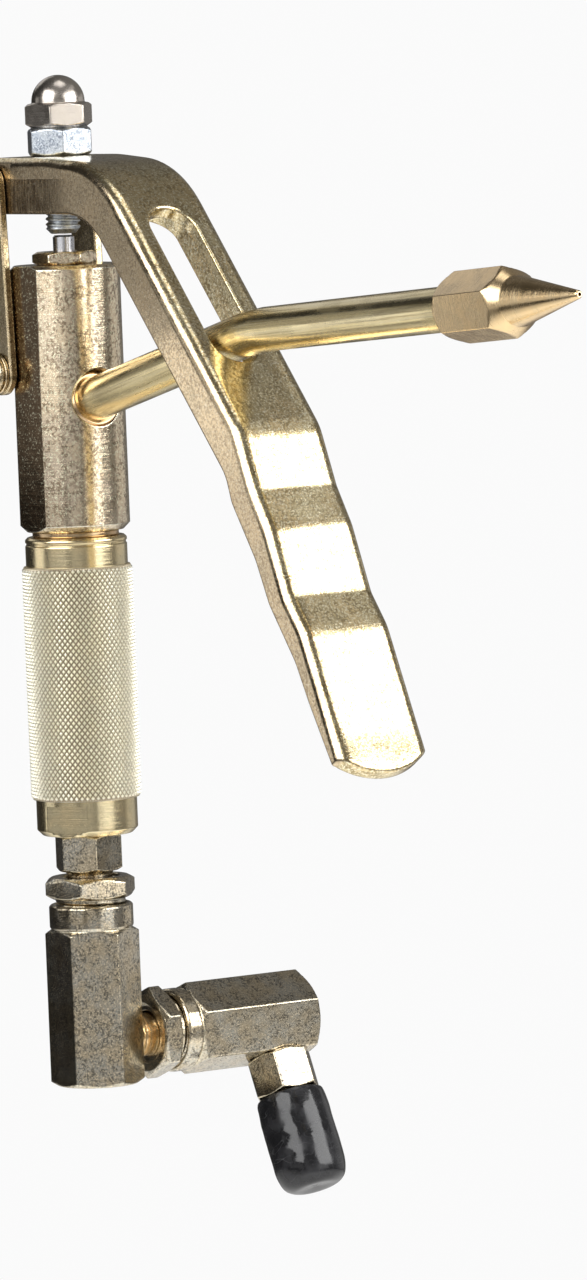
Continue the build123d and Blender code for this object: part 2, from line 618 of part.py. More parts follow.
swivel_gland_2 = hex_fitting(
    side, SWIVEL_FLATS, (GLAND_2, GLAND_2 + GLAND_HEX), 0.0,
    turned=[(GLAND_THREAD_R, GLAND_2 + GLAND_HEX, GLAND_2 + GLAND_HEX + GLAND_THREAD)],
    bores=[(NECK_R + RUNNING, GLAND_2, GLAND_2 + GLAND_HEX + GLAND_THREAD)],
)
swivel_body_2 = hex_fitting(
    side, SWIVEL_FLATS, (BODY_2_HEX, BODY_2_END), 0.0,
    turned=[(SWIVEL_COLLAR_R, BODY_2_START, BODY_2_HEX + 1.0)],
    bores=[
        (GLAND_THREAD_R + THREAD_GAP, BODY_2_START, GLAND_2 + GLAND_HEX + GLAND_THREAD),
        (CAVITY_R, GLAND_2 + GLAND_HEX + GLAND_THREAD, CAVITY_2_END),
        (PASSAGE_R, CAVITY_2_END, inlet_station + PASSAGE_R),
    ],
    cross=[
        (inlet, PORT_THREAD_R + THREAD_GAP, 3.0, SWIVEL_FLATS / 2),
        (inlet, PASSAGE_R, 0.0, 3.0),
    ],
)
swivel_seal_2 = ring(side, CAVITY_R, 4.0, FLANGE_2 + FLANGE_T + GAP, CAVITY_2_END)

# --- hose inlet and its cap -----------------------------------------------------------------------------------------
INLET_FACE = SWIVEL_FLATS / 2   # stations out from the second swivel's axis
INLET_HEX_END = INLET_FACE + 9.8
INLET_END = INLET_HEX_END + 14.5
inlet_nipple = hex_fitting(
    inlet, COUPLING_FLATS, (INLET_FACE, INLET_HEX_END), 10.0,
    turned=[
        (PORT_THREAD_R, 3.2, INLET_FACE),
        (5.7, INLET_HEX_END, INLET_HEX_END + 1.5),
        (INLET_THREAD_R, INLET_HEX_END + 1.5, INLET_END),
    ],
    bores=[(PASSAGE_R + 0.5, 3.2, INLET_END)],
)

CAP_START = INLET_HEX_END + GAP
CAP_END = CAP_START + 23.0
CAP_FLOOR_T = 2.0
with BuildPart() as protective_cap:
    with BuildSketch(section_of(inlet)):
        with BuildLine():
            Polyline(
                (0, CAP_END), (CAP_R - 3.2, CAP_END), (CAP_R - 1.0, CAP_END - 1.2),
                (CAP_R, CAP_END - 4.2), (CAP_R - 0.2, CAP_START), (CAP_BORE_R, CAP_START),
                (CAP_BORE_R, CAP_END - CAP_FLOOR_T), (0, CAP_END - CAP_FLOOR_T), close=True,
            )
        make_face()
    revolve(axis=Axis(inlet.origin, inlet.z_dir))
    rims = protective_cap.edges().filter_by(GeomType.CIRCLE)
    fillet(rims.filter_by(lambda rim: abs(rim.radius - CAP_R + 1.0) < 0.01), 1.0)

pieces = {
    "valve_body": valve_body,
    "packing_gland": packing_gland,
    "packing_rings": packing_rings,
    "valve_seat": valve_seat,
    "valve_ball": valve_ball,
    "valve_spring": valve_spring,
    "push_rod": push_rod,
    "grip_washer": grip_washer,
    "grip": grip,
    "lower_link_pin": lower_link_pin,
    "lower_pin_washers": lower_pin_washers,
    "lower_pin_clip": lower_pin_clip,
    "link_plate_left": link_plate_left,
    "link_plate_right": link_plate_right,
    "upper_link_pin": upper_link_pin,
    "upper_pin_clip": upper_pin_clip,
    "lever": lever,
    "adjusting_screw": adjusting_screw,
    "lock_nut": lock_nut,
    "acorn_nut": acorn_nut,
    "spout_collar": spout_collar,
    "spout_tube": spout_tube,
    "nozzle": nozzle,
    "swivel_nipple_1": swivel_nipple_1,
    "swivel_gland_1": swivel_gland_1,
    "swivel_body_1": swivel_body_1,
    "swivel_seal_1": swivel_seal_1,
    "swivel_stub_2": swivel_stub_2,
    "swivel_gland_2": swivel_gland_2,
    "swivel_body_2": swivel_body_2,
    "swivel_seal_2": swivel_seal_2,
    "inlet_nipple": inlet_nipple,
    "protective_cap": protective_cap,
}
for name, piece in pieces.items():
    piece.part.label = name
    export_step(piece.part, f"parts/{name}.step")
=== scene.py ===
"""Looks of a grease control gun around its CAD frame: meshes, plated metals, light and camera.

Lengths are written in millimetres and turned into metres by MM where a mesh is made.
A station is a distance along a turned piece's own axis.
"""

import json
import math

import bmesh
import bpy
import numpy as np
from mathutils import Matrix, Vector, noise


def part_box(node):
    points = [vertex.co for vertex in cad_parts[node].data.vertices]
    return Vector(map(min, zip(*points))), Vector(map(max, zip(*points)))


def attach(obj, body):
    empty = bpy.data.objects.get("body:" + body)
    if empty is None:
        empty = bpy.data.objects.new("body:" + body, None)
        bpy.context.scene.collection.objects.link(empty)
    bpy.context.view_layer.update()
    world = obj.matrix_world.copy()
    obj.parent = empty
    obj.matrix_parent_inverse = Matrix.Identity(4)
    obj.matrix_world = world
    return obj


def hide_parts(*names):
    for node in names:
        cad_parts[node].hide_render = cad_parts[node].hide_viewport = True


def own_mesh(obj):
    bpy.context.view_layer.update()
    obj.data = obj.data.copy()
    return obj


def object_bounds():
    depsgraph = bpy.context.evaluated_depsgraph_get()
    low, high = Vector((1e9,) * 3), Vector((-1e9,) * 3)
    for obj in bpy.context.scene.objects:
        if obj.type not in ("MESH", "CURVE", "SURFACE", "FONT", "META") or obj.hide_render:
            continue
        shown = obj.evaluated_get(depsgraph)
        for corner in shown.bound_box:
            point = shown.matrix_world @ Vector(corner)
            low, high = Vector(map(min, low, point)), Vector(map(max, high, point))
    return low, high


MM = 0.001
TURN = 2 * math.pi
SQRT3 = math.sqrt(3)

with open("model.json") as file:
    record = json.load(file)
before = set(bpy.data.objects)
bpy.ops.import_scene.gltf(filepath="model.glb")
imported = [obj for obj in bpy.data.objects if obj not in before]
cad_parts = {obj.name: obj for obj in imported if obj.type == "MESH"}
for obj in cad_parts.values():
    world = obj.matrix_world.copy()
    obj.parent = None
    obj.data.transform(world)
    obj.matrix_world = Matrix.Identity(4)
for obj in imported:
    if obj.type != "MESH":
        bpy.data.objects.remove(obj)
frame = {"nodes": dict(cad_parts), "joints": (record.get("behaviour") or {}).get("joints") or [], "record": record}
cad_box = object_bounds()
joints = {joint["name"]: joint for joint in frame["joints"]}
mounts = {mount["name"]: mount for mount in frame["record"]["mounts"]}
body_of_node = {
    node: body for body, nodes in frame["record"]["behaviour"]["bodies"].items() for node in nodes
}
slot_of_node = {part["node"]: part["material_slot"] for part in frame["record"]["subparts"]}


# --- axes of the turned pieces ----------------------------
class Line:
    """The axis of a turned piece: a local frame whose Z runs along it."""

    def __init__(self, origin, direction, across):
        along = Vector(direction).normalized()
        side = Vector(across)
        side = (side - along * along.dot(side)).normalized()
        self.along = along
        self.origin = Vector(origin)
        self.matrix = Matrix.Translation(self.origin) @ Matrix(
            (side, along.cross(side), along)
        ).transposed().to_4x4()

    def reach(self, node):
        """First and last station of a CAD node along this axis, in millimetres."""
        stations = [(v.co - self.origin).dot(self.along) for v in frame["nodes"][node].data.vertices]
        return min(stations) / MM, max(stations) / MM


grip_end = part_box("grip")[0].z
side_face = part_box("swivel_body_1")[1].y
port_height = joints["swivel_turn_2"]["pos_m"][2]
inlet_mount = Vector(mounts["hose_inlet"]["pos_m"])
inlet_axis = Vector(mounts["hose_inlet"]["axis"])
nozzle_tip = Vector(mounts["nozzle_tip"]["pos_m"])
nozzle_axis = Vector(mounts["nozzle_tip"]["axis"])

NOZZLE_LENGTH = 45.84
BEND_TO_TIP = 121.84  # from the bend's corner to the nozzle's tip
BEND_RADIUS = 45.0
bend_corner = nozzle_tip - nozzle_axis * BEND_TO_TIP * MM
collar_low, collar_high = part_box("spout_collar")
collar_centre = (collar_low + collar_high) / 2
spout_axis = (bend_corner - collar_centre).normalized()

LINES = {
    "up": Line((0, 0, 0), (0, 0, 1), (1, 0, 0)),
    "down": Line((0, 0, grip_end), (0, 0, -1), (1, 0, 0)),
    "side": Line((0, side_face, port_height), (0, 1, 0), (-inlet_axis.z, 0, inlet_axis.x)),
    "inlet": Line((0, inlet_mount.y, port_height), inlet_axis, (0, 1, 0)),
    "spout": Line(collar_centre, spout_axis, (0, 1, 0)),
    "nozzle": Line(
        nozzle_tip - nozzle_axis * NOZZLE_LENGTH * MM, nozzle_axis, (-nozzle_axis.z, 0, nozzle_axis.x)
    ),
}


# --- meshes -----------------------------------------------
FLAT_ANGLES = (0, 8, 16, 24)  # vertices on half of a flat, in degrees from its middle
EDGE_STEPS = 4  # segments in a rounded edge
CHAMFER_STEP = 0.12  # spacing of rings where a chamfer cuts the flats
THREAD_STEPS = 8  # rings in one thread pitch
BLEND = 0.14  # softness of the edge between a flat and a chamfer
CORNER_R = 0.35  # rounding of a hexagon's corners
CHAMFER_ANGLE = 30.0  # of a hexagon's ends, in degrees
CHAMFER_REACH = 0.1  # depth of the finely divided chamfer, in widths across flats
STATION_SLACK = 0.01  # how far a span reaches past its ends
SHARP_ANGLE = 32  # edges sharper than this many degrees stay sharp


def soft_min(a, b, width=BLEND):
    """The smaller of two lengths, with the change from one to the other rounded."""
    near = np.maximum(width - np.abs(a - b), 0)
    return np.minimum(a, b) - near * near / (4 * width)


def round_edges(points, closed):
    """Replaces each (station, radius, rounding) point by a short curve; others stay as they are."""
    path = []
    for i, point in enumerate(points):
        here = Vector(point[:2])
        rounding = point[2] if len(point) > 2 else 0
        at_end = not closed and i in (0, len(points) - 1)
        if rounding == 0 or at_end:
            path.append(here)
            continue
        before = Vector(points[i - 1][:2]) - here
        after = Vector(points[(i + 1) % len(points)][:2]) - here
        first = here + before.normalized() * min(rounding, before.length / 2)
        last = here + after.normalized() * min(rounding, after.length / 2)
        for k in range(EDGE_STEPS + 1):
            t = k / EDGE_STEPS
            path.append(first * (1 - t) ** 2 + here * 2 * t * (1 - t) + last * t * t)
    return path


def subdivide(path, closed, spans):
    """Divides the path's runs whose middle lies in a span (from, to, step) into pieces of that step."""
    fine = []
    count = len(path) if closed else len(path) - 1
    for i in range(count):
        a, b = path[i], path[(i + 1) % len(path)]
        pieces = 1
        middle = (a.x + b.x) / 2
        for low, high, step in spans:
            if low <= middle <= high:
                pieces = max(pieces, math.ceil((b - a).length / step))
        for k in range(pieces):
            fine.append(a.lerp(b, k / pieces))
    if not closed:
        fine.append(path[-1])
    return fine


def hex_angles(flats, turn):
    """Angles round a hexagon, close together at its rounded corners, in radians."""
    apothem = flats / 2
    arc = 30 - math.degrees(math.atan((apothem - CORNER_R) / apothem / SQRT3))
    half = [*FLAT_ANGLES, 30 - 2 * arc - 1, 30 - arc, 30 - 0.66 * arc, 30 - 0.33 * arc]
    one_flat = [-a for a in reversed(half[1:])] + half + [30]
    return np.radians([turn + 30 + 60 * k + a for k in range(6) for a in one_flat])


def hex_radius(angles, flats, turn):
    """Distance from the axis to a hexagon with rounded corners, at each angle."""
    apothem = flats / 2
    off = np.abs((np.degrees(angles) - turn) % 60 - 30)
    flat = apothem / np.cos(np.radians(off))
    centre = (apothem - CORNER_R) / math.cos(math.radians(30))
    away = np.radians(30 - off)
    inside = np.maximum(CORNER_R**2 - (centre * np.sin(away)) ** 2, 0)
    arc = centre * np.cos(away) + np.sqrt(inside)
    return np.where(centre * np.sin(away) < CORNER_R / 2, np.minimum(flat, arc), flat)


WELD_M = 1e-6  # vertices closer than this, in metres, are one


def thread_wave(turns):
    """A thread's profile from 0 at the crest to 1 at the root, with narrow flats."""
    return np.clip(np.abs((turns % 1) * 2 - 1) * 1.3 - 0.15, 0, 1)


def new_object(name, data):
    """An object in the scene."""
    made = bpy.data.objects.new(name, data)
    bpy.context.scene.collection.objects.link(made)
    return made


def mesh_object(name, vertices, faces, matrix, sharp=SHARP_ANGLE, field=None):
    """A smooth shaded object with sharp edges marked, its vertices given in millimetres.

    field is (attribute name, one number or vector per vertex) for the material to read.
    """
    mesh = bpy.data.meshes.new(name)
    mesh.from_pydata([tuple(v) for v in np.asarray(vertices) * MM], [], faces)
    if field:
        values = np.array(field[1], np.float32)
        kind, slot = ("FLOAT_VECTOR", "vector") if values.ndim == 2 else ("FLOAT", "value")
        stored = mesh.attributes.new(field[0], kind, "POINT")
        stored.data.foreach_set(slot, values.ravel())
    work = bmesh.new()
    work.from_mesh(mesh)
    bmesh.ops.remove_doubles(work, verts=work.verts, dist=WELD_M)
    bmesh.ops.dissolve_degenerate(work, edges=work.edges, dist=WELD_M / 10)
    bmesh.ops.recalc_face_normals(work, faces=work.faces)
    work.to_mesh(mesh)
    work.free()
    mesh.shade_smooth()
    mesh.set_sharp_from_angle(angle=math.radians(sharp))
    piece = new_object(name, mesh)
    piece.matrix_world = matrix
    weighted = piece.modifiers.new("weighted_normals", "WEIGHTED_NORMAL")
    weighted.keep_sharp = True
    return piece


def ring_faces(rings, columns, closed):
    """Quads between neighbouring rings of a tube-like grid of vertices."""
    faces = []
    for i in range(rings if closed else rings - 1):
        for j in range(columns):
            a, b = i * columns, (i + 1) % rings * columns
            k = (j + 1) % columns
            faces.append((a + j, b + j, b + k, a + k))
    return faces


def circle(angles, radii, station):
    """One ring of vertices round the local Z axis."""
    return np.stack([radii * np.cos(angles), radii * np.sin(angles), np.full(len(angles), station)], 1)


def turned(name, line, profile, closed=True, flats=0, turn=0, hex_spans=(), threads=(),
           shape=None, columns=96, spans=(), sharp=SHARP_ANGLE):
    """A piece turned about a line from (station, radius, rounding) points.

    Within hex_spans the radius is held inside a hexagon; threads are (from, to, pitch, depth);
    shape(angles, station, radius) may change a ring further. The field "lathe" is 0 on milled flats.
    """
    angles = hex_angles(flats, turn) if flats else np.arange(columns) * TURN / columns
    fine = list(spans)
    fine += [(low, high, pitch / THREAD_STEPS) for low, high, pitch, _ in threads]
    for low, high in hex_spans:
        depth = min(CHAMFER_REACH * flats, (high - low) / 2)
        fine += [(low, low + depth, CHAMFER_STEP), (high - depth, high, CHAMFER_STEP)]
    path = subdivide(round_edges(profile, closed), closed, fine)
    rings, lathe = [], []
    for station, radius in path:
        ring = np.full(len(angles), max(radius, 0.0))
        milled = False
        for low, high in hex_spans:
            if low - STATION_SLACK <= station <= high + STATION_SLACK:
                ring = soft_min(ring, hex_radius(angles, flats, turn))
                milled = radius > flats / 2
        for low, high, pitch, depth in threads:
            if low <= station <= high:
                fade = min(1, (station - low) / pitch, (high - station) / pitch)
                ring = ring - depth * fade * thread_wave(station / pitch + angles / TURN)
        if shape:
            ring = shape(angles, station, ring)
        rings.append(circle(angles, ring, station))
        lathe += [0.0 if milled else 1.0] * len(angles)
    faces = ring_faces(len(rings), len(angles), closed)
    vertices = np.concatenate(rings)
    return mesh_object(name, vertices, faces, LINES[line].matrix, sharp, field=("lathe", lathe))


def hexagon(flats, start, end, face=0.485):
    """Profile points of a hexagon's two chamfered ends; face is an end face's radius over the width."""
    corner = flats / SQRT3
    rim = face * flats
    drop = (corner - rim) * math.tan(math.radians(CHAMFER_ANGLE))
    return [(start, rim, 0.1), (start + drop, corner), (end - drop, corner), (end, rim, 0.1)]


# --- materials --------------------------------------------
BEVEL_SAMPLES = 6
EDGE_FULL = 0.90  # agreement of the rounded and the flat normal where an edge is fully painted bright, as wear and as painted highlight
EDGE_NONE = 0.99  # and where this painted wear and highlight ends


class Surface:
    """A principled material and short calls that add nodes to it."""

    def __init__(self, name, **fixed):
        self.material = bpy.data.materials.new(name)
        self.material.use_nodes = True
        self.tree = self.material.node_tree
        self.tree.nodes.clear()
        output = self.tree.nodes.new("ShaderNodeOutputMaterial")
        self.shader = self.tree.nodes.new("ShaderNodeBsdfPrincipled")
        self.tree.links.new(self.shader.outputs[0], output.inputs[0])
        for socket, value in fixed.items():
            self.shader.inputs[socket.replace("_", " ")].default_value = value
        self.place = self.add("TexCoord").outputs["Object"]

    def add(self, kind, inputs=(), **settings):
        node = self.tree.nodes.new("ShaderNode" + kind)
        for key, value in settings.items():
            setattr(node, key, value)
        for socket, value in dict(inputs).items():
            self.put(node.inputs[socket], value)
        return node

    def put(self, socket, value):
        if isinstance(value, bpy.types.NodeSocket):
            self.tree.links.new(value, socket)
        else:
            socket.default_value = value

    def noise(self, size, detail=2.0, rough=0.5, stretch=(1, 1, 1), turn=(0, 0, 0), place=None):
        """Noise whose blobs are about size millimetres across, drawn out by stretch."""
        scale = [1 / (size * MM * s) for s in stretch]
        mapped = self.add("Mapping", {"Vector": place or self.place, "Scale": scale, "Rotation": turn})
        return self.add(
            "TexNoise", {"Vector": mapped.outputs[0], "Scale": 1.0, "Detail": detail, "Roughness": rough}
        ).outputs[0]

    def ramp(self, value, low, high, start=0.0, end=1.0):
        """start below low, end above high, and in between a smooth change."""
        return self.add(
            "MapRange",
            {"Value": value, "From Min": low, "From Max": high, "To Min": start, "To Max": end},
            interpolation_type="SMOOTHSTEP",
        ).outputs[0]

    def math(self, operation, a, b=0.0):
        return self.add("Math", {0: a, 1: b}, operation=operation).outputs[0]

    def times(self, a, b):
        return self.math("MULTIPLY", a, b)

    def average(self, a, b, share):
        """share of a and the rest of b."""
        return self.math("ADD", self.times(a, share), self.times(b, 1 - share))

    def mix(self, factor, a, b):
        """Colour a where factor is 0 and b where it is 1."""
        node = self.add("Mix", data_type="RGBA")
        for index, value in ((0, factor), (6, a), (7, b)):
            self.put(node.inputs[index], colour(value) if isinstance(value, tuple) else value)
        return node.outputs[2]

    def parts(self):
        """X, Y and Z of the position."""
        return self.add("SeparateXYZ", {0: self.place}).outputs

    def from_axis(self):
        """Distance from the local Z axis."""
        x, y, _ = self.parts()
        return self.math("SQRT", self.math("ADD", self.times(x, x), self.times(y, y)))

    def field(self, name):
        """A number stored on the mesh."""
        return self.add("Attribute", attribute_name=name, attribute_type="GEOMETRY").outputs["Fac"]

    def hairlines(self, size, long, width, turn):
        """Thin wandering lines, 1 on a line and 0 beside it."""
        field = self.noise(size, detail=1, stretch=(1, long, 1), turn=turn)
        return self.ramp(self.math("ABSOLUTE", self.math("SUBTRACT", field, 0.5)), 0, width, 1, 0)

    def worn_and_glinting_edges(self, width):
        """1 along the mesh's edges, fading over width millimetres; also the normal rounded there."""
        rounded = self.add("Bevel", {"Radius": width * MM}, samples=BEVEL_SAMPLES).outputs[0]
        flat = self.add("NewGeometry").outputs["Normal"]
        compare = self.add("VectorMath", {0: rounded, 1: flat}, operation="DOT_PRODUCT")
        return self.ramp(compare.outputs["Value"], EDGE_FULL, EDGE_NONE, 1, 0), rounded

    def relief(self, layers, normal=None):
        """Bumps of (height, depth in millimetres), one over the other."""
        for height, depth in layers:
            inputs = {"Height": height, "Strength": 1.0, "Distance": depth * MM}
            if normal is not None:
                inputs["Normal"] = normal
            normal = self.add("Bump", inputs).outputs[0]
        return normal

    def finish(self, base=None, rough=None, normal=None):
        """Links what was built to the shader and gives the material."""
        for socket, value in (("Base Color", base), ("Roughness", rough), ("Normal", normal)):
            if value is not None:
                self.put(self.shader.inputs[socket], colour(value) if isinstance(value, tuple) else value)
        return self.material


def colour(rgb):
    """RGB with full alpha."""
    return (*rgb, 1.0)


TOOL_MARKS = 0.16  # spacing of the lathe's marks
AROUND_Z = (400, 400, 1)  # stretch that turns noise into rings
PLATED_WEAR_AND_GLINT = 0.45  # width of the edges painted bright, as wear and as painted highlight
FLAT_GRAIN = 0.05  # share of the speckle left on the smooth flats


def plated(name, base, tint, deep, rough=(0.14, 0.30), mottle=7.0, speck=0.6, specks=0.7, pits=0.012,
           marks=0.02, waves=0.02, all_turned=False, smooth_from=None):
    """Zinc plated steel: cloudy chromate colour, crystalline speckle, edges painted bright as wear and as painted
    highlight, scratches.

    mottle and speck are the sizes of the clouds and the speckle, specks how strong the speckle is. pits,
    marks and waves are depths: of the speckle, of the lathe's marks about the local Z axis, and of slow
    waves. Flats at |Y| = smooth_from are smoother, and darker as painted shade.
    """
    metal = Surface(name, Metallic=1.0)
    pale = tuple(min(1.0, 1.25 * c + 0.12) for c in base)
    cloud = metal.noise(mottle, detail=4, rough=0.6)
    grains = metal.noise(speck, detail=3, rough=0.68)
    coarse = metal.noise(speck * 4, detail=2)
    fine = metal.noise(speck * 0.6, detail=2, rough=0.7)
    edges, rounded = metal.worn_and_glinting_edges(PLATED_WEAR_AND_GLINT)
    shade = metal.mix(metal.ramp(cloud, 0.38, 0.62), base, tint)
    if smooth_from:
        across = metal.math("ABSOLUTE", metal.parts()[1])
        start, end = (smooth_from - 0.05) * MM, (smooth_from - 0.01) * MM
        grainy = metal.ramp(across, start, end, 1, FLAT_GRAIN)
        grains = metal.times(grains, grainy)
        fine = metal.times(fine, metal.ramp(grainy, FLAT_GRAIN, 1.0, 0.94, 1.0))
        # The flats are less grainy, and painted darker as painted shade of the dim room they face.
        shade = metal.mix(grainy, deep, shade)
    dark = metal.times(metal.ramp(grains, 0.46, 0.56), metal.ramp(coarse, 0.38, 0.58, 0.25, 1.0))
    shade = metal.mix(metal.times(dark, specks), shade, deep)
    shade = metal.mix(metal.ramp(fine, 0.54, 0.62, 0.0, specks), shade, pale)
    lines = metal.hairlines(5.0, 7, 0.004, (0.5, 0.9, 0.3))
    lines = metal.math("MAXIMUM", lines, metal.hairlines(4.0, 9, 0.003, (1.3, 0.2, 1.1)))
    shade = metal.mix(metal.times(lines, 0.35), shade, pale)
    # Edges painted pale: partly wear, partly painted highlight where rounded edges catch the lamps.
    bright = tuple(min(1.0, 1.2 * c) for c in pale)
    shade = metal.mix(edges, shade, bright)
    mixed = metal.average(cloud, grains, 0.4)
    gloss = metal.ramp(mixed, 0.40, 0.60, rough[0], rough[1])
    rings = metal.noise(TOOL_MARKS, detail=2, stretch=AROUND_Z)
    if not all_turned:
        rings = metal.times(rings, metal.field("lathe"))
    slow = metal.noise(5.0, detail=1)
    relief = metal.relief([(slow, waves), (grains, pits), (rings, marks), (lines, -0.002)], rounded)
    return metal.finish(shade, gloss, relief)


LEVER_SIDE = 11.5  # beyond this half width lies a side of the lever
LEVER_WEAR_AND_GLINT = 0.5  # width of the edges painted bright, as wear and as painted highlight
CROWN_FROM = 7.0  # the pressed faces fall away from here to the sides
TRIM_TOP = 8.0  # below this height the sides show the trimmed flash
TRIM_REAR = 6.0  # it is full up to here along X
TRIM_FRONT = 24.0  # and ends here
TIP_FROM = -111.0  # from this height down to TIP_TO, the tip bends back
TIP_TO = -124.0


def lever_metal():
    """Olive gold chromate over forged steel; the sides at the rear show the trimmed flash, painted dark partly for
    its torn texture and partly as painted shade.
    """
    metal = Surface("lever_zinc", Metallic=1.0)
    cloud = metal.noise(9.0, detail=4, rough=0.62)
    grains = metal.noise(0.85, detail=3, rough=0.7)
    coarse = metal.noise(3.2, detail=2)
    fine = metal.noise(0.5, detail=2, rough=0.7)
    edges, rounded = metal.worn_and_glinting_edges(LEVER_WEAR_AND_GLINT)
    shade = metal.mix(metal.ramp(cloud, 0.38, 0.62), (0.78, 0.62, 0.35), (0.66, 0.56, 0.34))
    dark = metal.times(metal.ramp(grains, 0.46, 0.55), metal.ramp(coarse, 0.35, 0.6, 0.4, 1.0))
    shade = metal.mix(metal.times(dark, 0.72), shade, (0.24, 0.17, 0.07))
    shade = metal.mix(metal.ramp(fine, 0.54, 0.61, 0, 0.8), shade, (1.0, 0.93, 0.70))
    x, y, z = metal.parts()
    across = metal.math("ABSOLUTE", y)
    side = metal.ramp(across, (LEVER_SIDE - 0.8) * MM, LEVER_SIDE * MM)
    shade = metal.mix(metal.times(side, 0.6), shade, (0.56, 0.43, 0.30))
    low = metal.ramp(z, TRIM_TOP * MM, (TRIM_TOP + 0.15) * MM, 1, 0)
    rear = metal.ramp(x, TRIM_REAR * MM, TRIM_FRONT * MM, 1, 0)
    trimmed = metal.times(side, metal.times(low, rear))
    tears = metal.noise(0.55, detail=3, stretch=(1, 1, 7), rough=0.65)
    # The torn flash is painted dark: partly its rough tearing, partly painted shade of a dark reflection.
    torn_and_shaded = metal.times(trimmed, metal.ramp(tears, 0.36, 0.58, 0.35, 0.92))
    shade = metal.mix(torn_and_shaded, shade, (0.12, 0.08, 0.045))
    lines = metal.hairlines(3.0, 12, 0.005, (0.2, 0.9, 0.4))
    lines = metal.math("MAXIMUM", lines, metal.hairlines(4.5, 10, 0.004, (1.2, -0.5, 0.9)))
    shade = metal.mix(metal.times(lines, 0.4), shade, (0.90, 0.80, 0.62))
    # Edges painted pale: partly wear, partly painted highlight where rounded edges catch the lamps.
    shade = metal.mix(metal.times(edges, 0.6), shade, (0.95, 0.86, 0.62))
    mixed = metal.average(cloud, grains, 0.4)
    gloss = metal.ramp(mixed, 0.40, 0.60, 0.12, 0.26)
    gloss = metal.math("ADD", gloss, metal.times(trimmed, 0.06))
    crown = metal.ramp(across, CROWN_FROM * MM, LEVER_SIDE * MM, 1, 0)
    tip = metal.ramp(z, TIP_TO * MM, TIP_FROM * MM, 1, 0)
    relief = metal.relief([
        (metal.noise(14.0, detail=1), 0.22), (metal.noise(6.0, detail=2), 0.06), (crown, 0.2), (tip, 0.8),
        (grains, 0.03), (metal.times(tears, trimmed), 0.16), (trimmed, -0.2), (lines, -0.003),
    ], rounded)
    return metal.finish(shade, gloss, relief)


KNURL_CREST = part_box("grip")[1].x / MM
KNURL_DEPTH = 0.48
KNURL_TOP = -81.6
KNURL_BOTTOM = -135.6
KNURL_FADE = 0.1


def knurl_metal():
    """Pale zinc on the knurl's crests and the turned collars, painted shade down in the grooves."""
    metal = Surface("knurl_zinc", Metallic=1.0)
    height = metal.parts()[2]
    depth = metal.ramp(metal.from_axis(), (KNURL_CREST - KNURL_DEPTH) * MM, (KNURL_CREST - 0.1) * MM)
    above = metal.ramp(height, (KNURL_BOTTOM - KNURL_FADE) * MM, (KNURL_BOTTOM + KNURL_FADE) * MM)
    below = metal.ramp(height, (KNURL_TOP - KNURL_FADE) * MM, (KNURL_TOP + KNURL_FADE) * MM, 1, 0)
    inside = metal.times(above, below)
    outside = metal.math("SUBTRACT", 1.0, inside)
    cloud = metal.noise(6.0, detail=4, rough=0.6)
    grains = metal.noise(0.4, detail=3, rough=0.6)
    clouded = metal.ramp(cloud, 0.36, 0.66)
    pale = metal.mix(clouded, (1.0, 0.97, 0.82), (0.95, 0.93, 0.80))
    olive = metal.mix(clouded, (0.80, 0.66, 0.40), (0.70, 0.60, 0.38))
    shade = metal.mix(inside, olive, pale)
    # Painted shade: the knurl's grooves are darkened the deeper they are.
    groove = metal.times(inside, metal.math("SUBTRACT", 1.0, depth))
    shade = metal.mix(metal.times(groove, 0.8), shade, (0.24, 0.17, 0.08))
    shade = metal.mix(metal.ramp(grains, 0.54, 0.70, 0, 0.3), shade, (0.34, 0.28, 0.16))
    gloss = metal.ramp(grains, 0.4, 0.62, 0.16, 0.26)
    gloss = metal.math("ADD", gloss, metal.times(groove, 0.2))
    gloss = metal.math("ADD", gloss, metal.times(inside, 0.14))
    rings = metal.noise(TOOL_MARKS, detail=2, stretch=AROUND_Z)
    relief = metal.relief([(grains, 0.003), (metal.times(rings, outside), 0.03)])
    return metal.finish(shade, gloss, relief)


def drawn_metal():
    """Gold chromate over drawn tube: long streaks along the tube from the die."""
    metal = Surface("tube_gold", Metallic=1.0)
    stored = metal.add("Attribute", attribute_name="along_tube", attribute_type="GEOMETRY")
    along = stored.outputs["Vector"]
    streaks = metal.noise(0.5, detail=3, rough=0.6, stretch=(1, 1, 60), place=along)
    bands = metal.noise(1.6, detail=2, stretch=(1, 1, 30), place=along)
    cloud = metal.noise(8.0, detail=3)
    grains = metal.noise(0.5, detail=2)
    shade = metal.mix(metal.ramp(bands, 0.35, 0.65), (0.80, 0.66, 0.36), (0.70, 0.60, 0.37))
    shade = metal.mix(metal.ramp(streaks, 0.52, 0.68, 0, 0.55), shade, (0.36, 0.27, 0.12))
    shade = metal.mix(metal.ramp(grains, 0.58, 0.72, 0, 0.25), shade, (0.90, 0.82, 0.58))
    gloss = metal.ramp(metal.average(cloud, streaks, 0.5), 0.38, 0.62, 0.18, 0.32)
    return metal.finish(shade, gloss, metal.relief([(bands, 0.012), (streaks, 0.006), (grains, 0.002)]))


def turned_metal(name, base, tint, deep, rough=(0.16, 0.30), marks=0.14, depth=0.004):
    """Bare metal from the lathe: rings of fine tool marks about the local Z axis."""
    metal = Surface(name, Metallic=1.0)
    rings = metal.noise(marks, detail=3, rough=0.7, stretch=(300, 300, 1))
    cloud = metal.noise(5.0, detail=3)
    grains = metal.noise(0.4, detail=2)
    shade = metal.mix(metal.ramp(cloud, 0.38, 0.64), base, tint)
    shade = metal.mix(metal.ramp(rings, 0.50, 0.70, 0, 0.35), shade, deep)
    shade = metal.mix(metal.ramp(grains, 0.58, 0.72, 0, 0.2), shade, deep)
    gloss = metal.ramp(metal.average(cloud, rings, 0.5), 0.38, 0.62, rough[0], rough[1])
    return metal.finish(shade, gloss, metal.relief([(rings, depth), (grains, 0.002)]))


